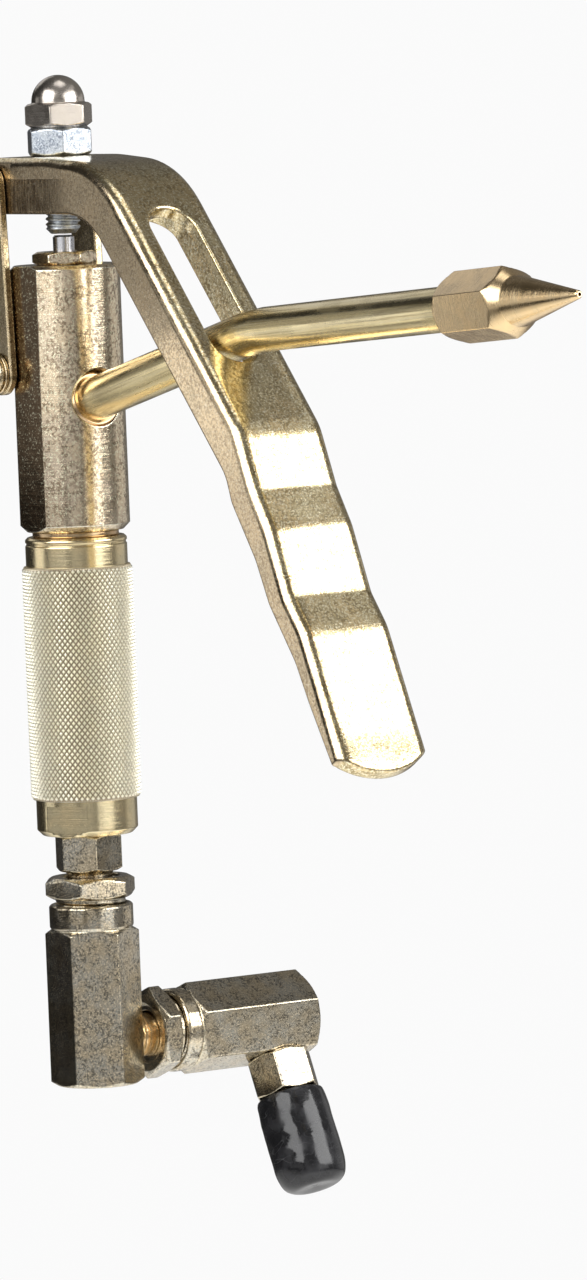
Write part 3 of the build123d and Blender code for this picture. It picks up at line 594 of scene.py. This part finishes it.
def dipped_vinyl():
    """Glossy black vinyl with faint swirls, dust and rub marks."""
    skin = Surface("cap_vinyl", Metallic=0.0, Specular_IOR_Level=0.45)
    swirl = skin.noise(4.0, detail=4, rough=0.6)
    dust = skin.noise(0.35, detail=2)
    rubs = skin.hairlines(3.0, 8, 0.006, (0.4, 1.0, 0.2))
    shade = skin.mix(skin.ramp(swirl, 0.40, 0.65), (0.010, 0.010, 0.011), (0.022, 0.022, 0.024))
    shade = skin.mix(skin.ramp(dust, 0.66, 0.76, 0, 0.25), shade, (0.10, 0.10, 0.105))
    shade = skin.mix(skin.times(rubs, 0.25), shade, (0.12, 0.12, 0.125))
    gloss = skin.ramp(swirl, 0.40, 0.65, 0.10, 0.22)
    gloss = skin.math("ADD", gloss, skin.times(rubs, 0.15))
    return skin.finish(shade, gloss, skin.relief([(skin.noise(3.0, detail=3), 0.05), (dust, 0.003)]))


def soft_solid(name, base, deep, rough):
    """Moulded polymer or rubber of a seal, with a fine grain."""
    skin = Surface(name, Metallic=0.0)
    grain = skin.noise(0.3, detail=3)
    cloud = skin.noise(2.5, detail=2)
    shade = skin.mix(skin.ramp(cloud, 0.4, 0.65), base, deep)
    shade = skin.mix(skin.ramp(grain, 0.5, 0.7, 0, 0.3), shade, deep)
    gloss = skin.ramp(grain, 0.4, 0.6, rough - 0.08, rough + 0.08)
    return skin.finish(shade, gloss, skin.relief([(grain, 0.01)]))


BODY_SIDE = -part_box("valve_body")[0].y / MM
materials = {
    "lever_zinc": lever_metal(),
    "body_zinc": plated(
        "body_zinc", (0.82, 0.67, 0.47), (0.72, 0.60, 0.45), (0.17, 0.11, 0.06), rough=(0.12, 0.24),
        speck=0.9, specks=0.75, pits=0.028, waves=0.05, all_turned=True, smooth_from=BODY_SIDE,
    ),
    "knurl_zinc": knurl_metal(),
    "swivel_zinc": plated(
        "swivel_zinc", (0.62, 0.52, 0.36), (0.55, 0.52, 0.44), (0.12, 0.11, 0.09), rough=(0.12, 0.26),
        specks=0.85,
    ),
    "clear_zinc": plated(
        "clear_zinc", (0.46, 0.49, 0.52), (0.36, 0.40, 0.45), (0.14, 0.16, 0.20), rough=(0.28, 0.42),
        mottle=2.5, specks=0.8,
    ),
    "nickel": turned_metal(
        "nickel", (0.62, 0.56, 0.49), (0.54, 0.49, 0.44), (0.30, 0.24, 0.20), rough=(0.18, 0.28),
        marks=0.3,
    ),
    "link_zinc": plated("link_zinc", (0.56, 0.44, 0.26), (0.46, 0.38, 0.25), (0.16, 0.12, 0.06)),
    "tube_gold": drawn_metal(),
    "copper_ring": turned_metal(
        "copper_ring", (0.64, 0.44, 0.25), (0.54, 0.40, 0.24), (0.24, 0.15, 0.08)
    ),
    "brass": turned_metal(
        "brass", (0.82, 0.60, 0.33), (0.74, 0.56, 0.33), (0.52, 0.37, 0.18), marks=0.2, depth=0.02
    ),
    "spring_steel": turned_metal(
        "spring_steel", (0.46, 0.46, 0.47), (0.40, 0.40, 0.42), (0.22, 0.22, 0.23)
    ),
    "bearing_steel": turned_metal(
        "bearing_steel", (0.75, 0.75, 0.76), (0.70, 0.70, 0.72), (0.5, 0.5, 0.52), rough=(0.05, 0.10),
        depth=0.0005,
    ),
    "hard_steel": turned_metal(
        "hard_steel", (0.52, 0.52, 0.54), (0.46, 0.46, 0.48), (0.28, 0.28, 0.30)
    ),
    "packing": soft_solid("packing", (0.80, 0.79, 0.74), (0.66, 0.64, 0.58), 0.45),
    "seal_rubber": soft_solid("seal_rubber", (0.020, 0.020, 0.020), (0.035, 0.034, 0.033), 0.5),
    "cap_vinyl": dipped_vinyl(),
}


def dress(piece, node):
    """Lets a new piece stand for a CAD node, on its body and with its slot's material."""
    piece.data.materials.append(materials[slot_of_node[node]])
    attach(piece, body_of_node[node])
    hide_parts(node)


# --- top: screw and nuts ----------------------------------
STUD_R = 4.0
STUD_PITCH = 1.25
NUT_FLATS = 14.0
DOME_R = 6.15
TIP_CLEAR = 0.08  # height of the screw's tip above the push rod, for when it is tilted
NUT_CLEAR = 0.05  # between a nut's bore and the stud


def make_screw():
    low, high = LINES["up"].reach("adjusting_screw")
    low += TIP_CLEAR
    profile = [
        (low, 0), (low, 2.8, 0.2), (low + 1.2, STUD_R), (high - 0.8, STUD_R), (high, 3.2, 0.2), (high, 0),
    ]
    return turned("adjusting_screw_thread", "up", profile, closed=False,
                  threads=[(low + 0.9, high - 0.5, STUD_PITCH, 0.62)])


def make_lock_nut():
    low, high = LINES["up"].reach("lock_nut")
    bore = STUD_R + NUT_CLEAR
    profile = hexagon(NUT_FLATS, low, high, face=0.46) + [
        (high, bore + 0.5), (high - 0.5, bore), (low + 0.5, bore), (low, bore + 0.5),
    ]
    return turned("lock_nut_hex", "up", profile, flats=NUT_FLATS, turn=33, hex_spans=[(low, high)])


def make_acorn_nut():
    low, high = LINES["up"].reach("acorn_nut")
    hex_top = low + 5.6
    bore = STUD_R + NUT_CLEAR
    dome_angles = np.radians(range(0, 90, 6))
    dome = [(high - DOME_R + DOME_R * math.sin(a), DOME_R * math.cos(a)) for a in dome_angles]
    profile = [
        (low + 7.1, 0), (low + 7.1, bore), (low + 0.4, bore), (low, bore + 0.4), (low, 6.5, 0.15),
        (low + 0.35, 6.9, 0.1), (low + 0.95, 8.1), (hex_top - 0.75, 8.1), (hex_top - 0.1, 6.95, 0.15),
        (hex_top, 6.3, 0.1), (hex_top + 0.15, DOME_R, 0.1), *dome, (high, 0),
    ]
    return turned("acorn_nut_dome", "up", profile, closed=False, flats=NUT_FLATS, turn=13,
                  hex_spans=[(low + 0.3, hex_top - 0.05)])


def make_packing_gland():
    low, high = LINES["up"].reach("packing_gland")
    bore = 2.55
    thread_r = 5.0
    flats = 13.0
    shoulder = high - 3.0
    profile = [
        (low, bore), (low, thread_r - 0.4), (low + 0.4, thread_r), (shoulder, thread_r),
        *hexagon(flats, shoulder, high), (high, bore + 0.5, 0.1), (high - 0.5, bore),
    ]
    return turned("packing_gland_hex", "up", profile, flats=flats, turn=57, hex_spans=[(shoulder, high)],
                  threads=[(low, shoulder, 1.0, 0.4)])


# --- grip -------------------------------------------------
KNURLS_ROUND = 62  # diamonds round the grip
KNURLS_LONG = 34  # and along it
SOCKET_R = 6.05  # for the coupling's thread, at the lower end
SPIGOT_R = 7.0  # inside the washer, at the upper end
COLLAR_TOP_R = 11.8
COLLAR_LOW_R = 11.7
WRENCH_HALF = 10.5  # half the distance between the two wrench flats
WRENCH_TOP = -136.8
WRENCH_TURN = -60.0


def knurl_height(i, j):
    """0 in a groove and 1 on a crest; four steps in i or j are one diamond."""
    across = min(abs((i + j) % 4 - 2), abs((i - j) % 4 - 2))
    return (0.0, 0.8, 1.0)[across]


def make_grip():
    """Diamond knurl between two turned collars; triangles follow the knurl's grooves."""
    low, high = LINES["up"].reach("grip")
    columns = 4 * KNURLS_ROUND
    angles = np.arange(columns) * TURN / columns
    root = KNURL_CREST - KNURL_DEPTH
    socket_top = low + 12
    lower_path = subdivide(round_edges([
        (socket_top, SOCKET_R), (low, SOCKET_R), (low, COLLAR_LOW_R - 1.3, 0.2),
        (low + 1.3, COLLAR_LOW_R, 0.2), (WRENCH_TOP, COLLAR_LOW_R), (WRENCH_TOP + 0.05, COLLAR_LOW_R),
        (KNURL_BOTTOM, COLLAR_LOW_R), (KNURL_BOTTOM, root),
    ], False), False, [(low, WRENCH_TOP, 0.8)])
    upper_path = subdivide(round_edges([
        (KNURL_TOP, root), (KNURL_TOP, COLLAR_TOP_R),
        (-76.8, COLLAR_TOP_R, 0.2), (-76.6, COLLAR_TOP_R - 0.25, 0.1), (-76.2, COLLAR_TOP_R - 0.25, 0.1),
        (-76.0, COLLAR_TOP_R, 0.2), (-75.4, COLLAR_TOP_R, 0.2), (-74.8, COLLAR_TOP_R - 0.6, 0.1),
        (-74.8, SPIGOT_R), (high, SPIGOT_R, 0.3), (high, 4.6), (-79.6, 4.6), (-79.6, 3.5),
        (socket_top, 3.5),
    ], False), False, [])

    rings = []
    for station, radius in lower_path:
        radii = np.full(columns, radius)
        if station < WRENCH_TOP + STATION_SLACK and radius > SPIGOT_R:
            toward = np.abs(np.cos(angles - math.radians(WRENCH_TURN)))
            radii = soft_min(radii, WRENCH_HALF / np.maximum(toward, 0.05))
        rings.append(circle(angles, radii, station))
    knurl_first = len(rings)
    steps = 4 * KNURLS_LONG
    for j in range(steps + 1):
        station = KNURL_BOTTOM + (KNURL_TOP - KNURL_BOTTOM) * j / steps
        rise = min(1.0, 0.5 * j, 0.5 * (steps - j))
        heights = np.array([knurl_height(i, j) for i in range(columns)])
        rings.append(circle(angles, root + KNURL_DEPTH * heights * rise, station))
    knurl_last = len(rings) - 1
    rings += [circle(angles, np.full(columns, radius), station) for station, radius in upper_path[1:]]
    faces = []
    for a, b, c, d in ring_faces(len(rings), columns, True):
        row, column = divmod(a, columns)
        if not knurl_first <= row < knurl_last:
            faces.append((a, b, c, d))
        elif (row - knurl_first + column) % 2 == 0:
            faces += [(a, b, c), (a, c, d)]
        else:
            faces += [(a, b, d), (b, c, d)]
    return mesh_object("grip_knurled", np.concatenate(rings), faces, LINES["up"].matrix, sharp=22)


def make_grip_washer():
    low, high = LINES["up"].reach("grip_washer")
    bore, outer = SPIGOT_R + 0.05, 10.0
    profile = [(low, bore), (low, outer, 0.35), (high, outer, 0.35), (high, bore)]
    return turned("grip_washer_ring", "up", profile)


# --- spout ------------------------------------------------
TUBE_R = 5.0
TUBE_BORE_R = 3.0
TUBE_SEAT = 3.45  # tube's end, behind the collar's middle
TUBE_IN_NOZZLE = 12.0
NOZZLE_FLATS = 14.0
TUBE_COLUMNS = 72
BEND_OVAL = 0.035  # how far the bend is flattened
BEND_SPREAD = 0.4  # share of the flattening that comes out at the bend's sides
LEG_1_STEPS = 10
BEND_STEPS = 24
LEG_2_STEPS = 14


def spout_path():
    """Points in millimetres, directions and bend shares along the tube's middle."""
    corner = bend_corner / MM
    start = collar_centre / MM - spout_axis * TUBE_SEAT
    finish = LINES["nozzle"].origin / MM + nozzle_axis * TUBE_IN_NOZZLE
    half_turn = spout_axis.angle(nozzle_axis) / 2
    cut = BEND_RADIUS * math.tan(half_turn)
    arc_start = corner - spout_axis * cut
    arc_end = corner + nozzle_axis * cut
    inward = (nozzle_axis - spout_axis).normalized()
    centre = corner + inward * BEND_RADIUS / math.cos(half_turn)
    normal = spout_axis.cross(nozzle_axis).normalized()
    path = [(start.lerp(arc_start, k / LEG_1_STEPS), spout_axis, 0.0) for k in range(LEG_1_STEPS)]
    for k in range(BEND_STEPS + 1):
        turn = Matrix.Rotation(2 * half_turn * k / BEND_STEPS, 3, normal)
        bend = math.sin(math.pi * k / BEND_STEPS)
        path.append((centre + turn @ (arc_start - centre), turn @ spout_axis, bend))
    for k in range(1, LEG_2_STEPS + 1):
        path.append((arc_end.lerp(finish, k / LEG_2_STEPS), nozzle_axis, 0.0))
    return path


def make_spout():
    """The tube and its bore, with the distance along it stored for the drawing streaks."""
    angles = np.arange(TUBE_COLUMNS) * TURN / TUBE_COLUMNS
    across = Vector((0, 1, 0))
    rings, along = [], []
    path = spout_path()
    length = 0.0
    lengths = [0.0]
    for (a, _, _), (b, _, _) in zip(path, path[1:]):
        length += (b - a).length
        lengths.append(length)
    stations = list(zip(path, lengths))
    outside = [(*station, TUBE_R) for station in stations]
    bore = [(*station, TUBE_BORE_R) for station in reversed(stations)]
    for (point, way, bend), travel, radius in outside + bore:
        up = way.cross(across).normalized()
        for angle in angles:
            c, s = math.cos(angle), math.sin(angle)
            sideways = across * c * radius * (1 + BEND_OVAL * bend * BEND_SPREAD)
            rings.append(point + (sideways + up * s * radius * (1 - BEND_OVAL * bend)))
            along.append((c * radius * MM, s * radius * MM, travel * MM))
    faces = ring_faces(2 * len(path), TUBE_COLUMNS, True)
    return mesh_object("spout_tube_drawn", rings, faces, Matrix.Identity(4), field=("along_tube", along))


def make_collar():
    """The ring round the tube where it enters the body, with the waves of a braze."""
    low, high = LINES["spout"].reach("spout_collar")
    bore, outer = TUBE_R + 0.05, 6.5
    profile = [(low, bore), (low, outer), (high - 0.5, outer, 0.2), (high, 6.0, 0.3), (high - 0.2, bore)]
    return turned("spout_collar_braze", "spout", profile, threads=[(low, high, 0.9, 0.25)],
                  spans=[(high - 0.7, high + 0.1, 0.1)])


def make_nozzle():
    end = NOZZLE_LENGTH
    corner = NOZZLE_FLATS / SQRT3
    depth = TUBE_IN_NOZZLE
    socket_r = TUBE_R + 0.05
    rear, front, cone = 3.2, 20.5, 24.2
    profile = [
        (0, socket_r), (0, 5.9, 0.2), (rear, corner), (front, corner), (cone, 5.6, 0.2),
        (end - 0.4, 0.95, 0.1), (end, 0.6), (end, 0.45), (30, 0.45), (28.8, 2.5), (depth, 2.5),
        (depth, socket_r),
    ]
    fine = [(0, rear, 0.15), (front, cone + 0.1, 0.15), (cone + 0.1, end, 2.0)]
    return turned("nozzle_cone", "nozzle", profile, flats=NOZZLE_FLATS, turn=10, hex_spans=[(0, cone)],
                  spans=fine)


# --- swivels ----------------------------------------------
SWIVEL_FLATS = 19.0
COUPLING_FLATS = 14.0
NECK_R = 5.25
FLANGE_R = 6.9
FLANGE_T = 3
GLAND_R = 8.2  # outside of the gland nut's thread
GLAND_HEX = 5.0  # length of the gland nut's hexagon
COLLAR_R = 9.75
CAVITY_R = 7.2
PASSAGE_R = 2.5


def make_nipple():
    """Coupling hexagon, screwed into the grip above and held by its flange in the first swivel."""
    low, high = LINES["down"].reach("swivel_nipple_1")
    hex_end = 8.6
    flange = high - FLANGE_T
    profile = [
        (low, PASSAGE_R), (low, 5.4), (low + 0.6, 6.0), (0, 6.0), *hexagon(COUPLING_FLATS, 0.0, hex_end),
        (hex_end, 5.9, 0.1), (hex_end + 0.7, NECK_R, 0.2), (flange, NECK_R), (flange, FLANGE_R, 0.1),
        (high, FLANGE_R, 0.1), (high, PASSAGE_R),
    ]
    return turned("swivel_nipple_hex", "down", profile, flats=COUPLING_FLATS, turn=21,
                  hex_spans=[(0, hex_end)], threads=[(low + 0.5, -0.6, 1.34, 0.6)])


def make_gland(line, node, name, turn):
    """A swivel's gland nut: hexagon with a recessed face, then its thread."""
    low, high = LINES[line].reach(node)
    bore = NECK_R + 0.05
    hex_end = low + GLAND_HEX
    profile = hexagon(SWIVEL_FLATS, low, hex_end, face=0.47) + [
        (hex_end, GLAND_R, 0.1), (high - 0.6, GLAND_R), (high, GLAND_R - 0.6), (high, bore),
        (low + 0.9, bore), (low + 0.9, 6.6, 0.1), (low, 7.1, 0.15),
    ]
    return turned(name, line, profile, flats=SWIVEL_FLATS, turn=turn, hex_spans=[(low, hex_end)],
                  threads=[(hex_end + 0.1, high - 0.2, 1.5, 0.55)])


def make_swivel_body(line, node, name, collar, blind):
    """A swivel's hexagonal body: a turned collar, a mouth for the gland, a cavity and a blind passage."""
    low, high = LINES[line].reach(node)
    hex_start = low + collar
    mouth = GLAND_R + 0.05
    step = low + 7.6
    seat = low + 13.7
    outer = hexagon(SWIVEL_FLATS, hex_start, high, face=0.49)
    outer[0] = (hex_start, COLLAR_R - 0.35, 0.15)
    profile = [
        (blind, 0), (blind, PASSAGE_R), (seat, PASSAGE_R), (seat, CAVITY_R), (step, CAVITY_R),
        (step, mouth), (low + 0.5, mouth), (low, mouth + 0.5, 0.1), (low, COLLAR_R - 0.5, 0.1),
        (low + 0.5, COLLAR_R, 0.2), (hex_start - 0.6, COLLAR_R, 0.25), *outer, (high, 0),
    ]
    return turned(name, line, profile, closed=False, flats=SWIVEL_FLATS, hex_spans=[(hex_start, high)])


def make_stub():
    """Brass stub between the two swivels, its thread showing beside the first body."""
    low, high = LINES["side"].reach("swivel_stub_2")
    flange = high - FLANGE_T
    profile = [
        (low, PASSAGE_R), (low, 4.4), (low + 0.5, 4.9), (2.0, 4.9, 0.1), (2.0, NECK_R, 0.2),
        (flange, NECK_R), (flange, FLANGE_R, 0.1), (high, FLANGE_R, 0.1), (high, PASSAGE_R),
    ]
    return turned("swivel_stub_thread", "side", profile, threads=[(low + 0.5, 3.4, 1.0, 0.45)])


# --- hose inlet -------------------------------------------
INLET_THREAD_R = 6.58
INLET_THREAD_LENGTH = 13.0
INLET_HEX = 9.8
THREAD_PITCH = 1.337
THREAD_DEPTH = 0.75
UNDERCUT_R = 5.7


def make_inlet():
    """Inlet nipple: a hexagon, and a pipe thread with an undercut and a coned mouth."""
    low, high = LINES["inlet"].reach("inlet_nipple")
    thread_start = high - INLET_THREAD_LENGTH
    hex_end = thread_start - 1.5
    hex_start = hex_end - INLET_HEX
    profile = [
        (low, 3.0), (low, 4.9, 0.1), (hex_start, 4.9), *hexagon(COUPLING_FLATS, hex_start, hex_end),
        (hex_end, UNDERCUT_R, 0.2), (thread_start, UNDERCUT_R, 0.2), (thread_start + 0.7, INLET_THREAD_R),
        (high - 0.8, INLET_THREAD_R), (high, INLET_THREAD_R - 0.8, 0.1), (high, 4.4, 0.1),
        (high - 2.4, 3.0),
    ]
    return turned("inlet_nipple_thread", "inlet", profile, flats=COUPLING_FLATS, turn=10,
                  hex_spans=[(hex_start, hex_end)],
                  threads=[(thread_start + 0.2, high - 0.2, THREAD_PITCH, THREAD_DEPTH)])


CAP_UNEVEN = 0.022  # largest dip in the cap's skin, as a share of its radius


def make_cap():
    """Dipped vinyl cap: soft, a little uneven, its end drawn in."""
    low, high = LINES["inlet"].reach("protective_cap")
    bore = 7.25
    skin = 8.5
    profile = [
        (high - 2, 0), (high - 2, bore - 0.8, 0.5), (high - 3.5, bore), (low + 0.2, bore),
        (low, bore + 0.25, 0.1), (low, skin - 0.65, 0.25), (low + 1.0, skin - 0.35, 0.4),
        (low + 4.0, skin - 0.06, 1.5),
        (low + 12.0, skin, 2.0), (high - 4.6, skin - 0.05, 1.5), (high - 1.5, skin - 1.0, 1.2),
        (high, 5.4, 1.4), (high - 0.25, 2.6, 1.0), (high - 0.55, 0),
    ]

    def uneven(angles, station, radii):
        if radii[0] < bore + 0.2 and station < high - 1:
            return radii
        places = [Vector((1.3 * math.cos(a), 1.3 * math.sin(a), station / 5)) for a in angles]
        swell = [noise.noise(place) for place in places]
        return radii * (1 - CAP_UNEVEN * np.abs(swell))

    return turned("protective_cap_dipped", "inlet", profile, closed=False, shape=uneven,
                  spans=[(low + 0.3, high - 0.2, 0.7)], sharp=60)


def make_spring():
    """A copy of the CAD node's coil."""
    coil = new_object("valve_spring_coil", frame["nodes"]["valve_spring"].data.copy())
    coil.data.materials.clear()
    return coil


def close_spring(coil):
    """Gives the coil a mesh of its own."""
    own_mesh(coil)


# --- link pins --------------------------------------------
PIN_R = 2.5
HEAD_R = 4.3
GROOVE_R = 2.0


def make_pin(node, name, joint):
    """A clevis pin with a domed head on the -Y side, and a groove for its clip on the other."""
    centre = Vector(joints[joint]["pos_m"])
    LINES[node] = Line((centre.x, 0, centre.z), (0, -1, 0), (1, 0, 0))
    low, high = LINES[node].reach(node)
    groove = low + 1.2
    groove_end = groove + 0.7
    head = high - 2.0
    profile = [
        (low, 0), (low, PIN_R - 0.4, 0.1), (low + 0.4, PIN_R), (groove, PIN_R), (groove, GROOVE_R),
        (groove_end, GROOVE_R), (groove_end, PIN_R), (head, PIN_R), (head, HEAD_R - 0.2, 0.1),
        (high - 1.8, HEAD_R, 0.2), (high - 1.1, HEAD_R, 0.6), (high - 0.35, 3.2, 0.8), (high, 1.5, 0.6),
        (high, 0),
    ]
    return turned(name, node, profile, closed=False, columns=64)


# --- new pieces in place of their CAD nodes ---------------
new_pieces = {
    "adjusting_screw": make_screw(),
    "lock_nut": make_lock_nut(),
    "acorn_nut": make_acorn_nut(),
    "packing_gland": make_packing_gland(),
    "grip": make_grip(),
    "grip_washer": make_grip_washer(),
    "spout_tube": make_spout(),
    "spout_collar": make_collar(),
    "nozzle": make_nozzle(),
    "swivel_nipple_1": make_nipple(),
    "swivel_gland_1": make_gland("down", "swivel_gland_1", "swivel_gland_first", 44.6),
    "swivel_body_1": make_swivel_body("down", "swivel_body_1", "swivel_body_first", 5.8, 50.7),
    "swivel_stub_2": make_stub(),
    "swivel_gland_2": make_gland("side", "swivel_gland_2", "swivel_gland_second", 0.0),
    "swivel_body_2": make_swivel_body("side", "swivel_body_2", "swivel_body_second", 4.2, 41.0),
    "inlet_nipple": make_inlet(),
    "protective_cap": make_cap(),
    "lower_link_pin": make_pin("lower_link_pin", "lower_pin_headed", "link_swing"),
    "upper_link_pin": make_pin("upper_link_pin", "upper_pin_headed", "lever_squeeze"),
    "valve_spring": make_spring(),
}
for node, piece in new_pieces.items():
    dress(piece, node)
close_spring(new_pieces["valve_spring"])

# --- CAD nodes that keep their own shape ------------------
for node, cad in frame["nodes"].items():
    if not cad.hide_render:
        cad.data.materials.clear()
        cad.data.materials.append(materials[slot_of_node[node]])

# --- stage ------------------------------------------------
FLOOR_Z = cad_box[0].z - 0.12
FLOOR_CENTRE = (0.09, 0.02)
FLOOR_RADIUS = 1.0
FADE_FROM = 0.12  # where the floor begins to fade, as a share of its radius
FADE_TO = 0.70


def make_floor():
    """A pale floor that fades into the background."""
    mesh = bpy.data.meshes.new("floor")
    work = bmesh.new()
    bmesh.ops.create_circle(work, cap_ends=True, radius=FLOOR_RADIUS, segments=96)
    work.to_mesh(mesh)
    work.free()
    floor = new_object("floor", mesh)
    floor.location = (*FLOOR_CENTRE, FLOOR_Z)
    paper = Surface("floor_paper", Roughness=0.8)
    grain = paper.noise(3.0, detail=3)
    paper.finish(paper.mix(grain, (0.86, 0.86, 0.85), (0.90, 0.90, 0.89)))
    clear = paper.add("BsdfTransparent")
    fade = paper.ramp(paper.from_axis(), FADE_FROM * FLOOR_RADIUS, FADE_TO * FLOOR_RADIUS)
    blend = paper.add("MixShader", {0: fade})
    paper.tree.links.new(paper.shader.outputs[0], blend.inputs[1])
    paper.tree.links.new(clear.outputs[0], blend.inputs[2])
    output = next(n for n in paper.tree.nodes if n.type == "OUTPUT_MATERIAL")
    paper.tree.links.new(blend.outputs[0], output.inputs[0])
    mesh.materials.append(paper.material)


BRIGHT_SIDE = (0.77, 0.64, 0.0)
WORLD_GLOW = 0.20
DARK_GLOW = 0.03


def make_world():
    """White behind the object; the metal sees a dim room, darkest away from BRIGHT_SIDE."""
    world = bpy.data.worlds.new("studio")
    world.use_nodes = True
    tree = world.node_tree
    tree.nodes.clear()

    def add(kind, **inputs):
        node = tree.nodes.new("ShaderNode" + kind)
        for socket, value in inputs.items():
            node.inputs[socket.replace("_", " ")].default_value = value
        return node

    output = add("OutputWorld")
    seen = add("Background", Color=colour((0.96, 0.96, 0.96)))
    lit = add("Background", Color=colour((1.0, 0.98, 0.95)))
    toward = add("VectorMath")
    toward.operation = "DOT_PRODUCT"
    toward.inputs[1].default_value = BRIGHT_SIDE
    glow = add("MapRange", From_Min=-0.75, From_Max=0.1, To_Min=DARK_GLOW, To_Max=WORLD_GLOW)
    path = add("LightPath")
    mix = add("MixShader")
    tree.links.new(add("TexCoord").outputs["Generated"], toward.inputs[0])
    tree.links.new(toward.outputs["Value"], glow.inputs[0])
    tree.links.new(glow.outputs[0], lit.inputs["Strength"])
    tree.links.new(path.outputs["Is Camera Ray"], mix.inputs[0])
    tree.links.new(lit.outputs[0], mix.inputs[1])
    tree.links.new(seen.outputs[0], mix.inputs[2])
    tree.links.new(mix.outputs[0], output.inputs[0])
    bpy.context.scene.world = world


MIDDLE = (0.06, 0.01, -0.09)  # what the large lights are aimed at


def softbox(name, toward, distance, width, height, glow, aim=MIDDLE, glossy=True):
    """A rectangular light in the direction toward from aim, glow times as bright as lit white paper."""
    light = bpy.data.lights.new(name, "AREA")
    light.shape = "RECTANGLE"
    light.size, light.size_y = width, height
    light.energy = glow * width * height * math.pi
    lamp = new_object(name, light)
    lamp.visible_glossy = glossy
    lamp.visible_camera = False
    way = Vector(toward).normalized()
    lamp.location = Vector(aim) + way * distance
    lamp.rotation_euler = (-way).to_track_quat("-Z", "Y").to_euler()


make_floor()
make_world()
softbox("key_right", (0.82, 0.42, 0.38), 1.05, 0.98, 0.66, 5.5)
softbox("key_left", (0.16, -0.85, 0.51), 1.10, 1.00, 0.78, 4.5)
softbox("front_fill", (0.84, -0.54, -0.04), 2.6, 1.3, 1.0, 0.30)
softbox("side_fill", (0.0, 1.0, 0.0), 2.0, 1.4, 1.0, 0.35)
softbox("low_right", (0.98, 0.19, -0.06), 1.35, 0.95, 0.42, 1.20)
softbox("band_fill", (0.36, 0.55, 0.76), 1.2, 0.9, 0.26, 0.38)
softbox("low_left", (0.17, -0.98, -0.06), 1.30, 1.08, 0.42, 0.44)
softbox("overhead", (0.1, 0.05, 1.0), 1.2, 0.55, 0.55, 1.6)
softbox("rear_glow", (-0.84, 0.12, 0.50), 1.2, 0.6, 0.45, 0.65)
softbox("arm_card", (-0.72, -0.65, 0.0), 0.185, 0.07, 0.14, 0.40, aim=(0.0, -0.012, 0.0))
softbox("near_card", (-0.70, -0.71, 0.0), 0.17, 0.08, 0.13, 1.0, aim=(0.035, -0.01, -0.10))
softbox("nozzle_card", (0.0, -1.0, 0.0), 0.131, 0.20, 0.07, 0.6, aim=(0.06, 0.0, -0.02))
softbox("floor_wash", (0.0, 0.0, 1.0), 1.6, 1.6, 1.6, 2.6, glossy=False)

# --- camera -----------------------------------------------
CAMERA_AZIMUTH = math.radians(57)
CAMERA_TILT = math.radians(3)
CAMERA_ROLL = math.radians(2.317)
CAMERA_DISTANCE = 1.934
CAMERA_HEIGHT = 0.052
CAMERA_LENS = 235.6
CAMERA_SENSOR = 36
CAMERA_FAR = 20
AIM_RIGHT = 0.02652  # the picture's middle, off the line of sight to the origin
AIM_UP = -0.02559


def make_camera():
    data = bpy.data.cameras.new("camera")
    data.lens = CAMERA_LENS
    data.sensor_width = CAMERA_SENSOR
    data.clip_end = CAMERA_FAR
    camera = new_object("camera", data)
    sin_a, cos_a = math.sin(CAMERA_AZIMUTH), math.cos(CAMERA_AZIMUTH)
    level = math.cos(CAMERA_TILT)
    forward = Vector((-sin_a * level, cos_a * level, -math.sin(CAMERA_TILT)))
    right = Vector((cos_a, sin_a, 0))
    up = right.cross(forward)
    rolled_right = right * math.cos(CAMERA_ROLL) - up * math.sin(CAMERA_ROLL)
    rolled_up = right * math.sin(CAMERA_ROLL) + up * math.cos(CAMERA_ROLL)
    aim = (forward + rolled_right * AIM_RIGHT + rolled_up * AIM_UP).normalized()
    side = aim.cross(rolled_up).normalized()
    turn = Matrix((side, side.cross(aim), -aim)).transposed().to_4x4()
    place = Vector((sin_a * CAMERA_DISTANCE, -cos_a * CAMERA_DISTANCE, CAMERA_HEIGHT))
    camera.matrix_world = Matrix.Translation(place) @ turn
    bpy.context.scene.camera = camera


make_camera()
bpy.context.scene.view_settings.view_transform = "Standard"
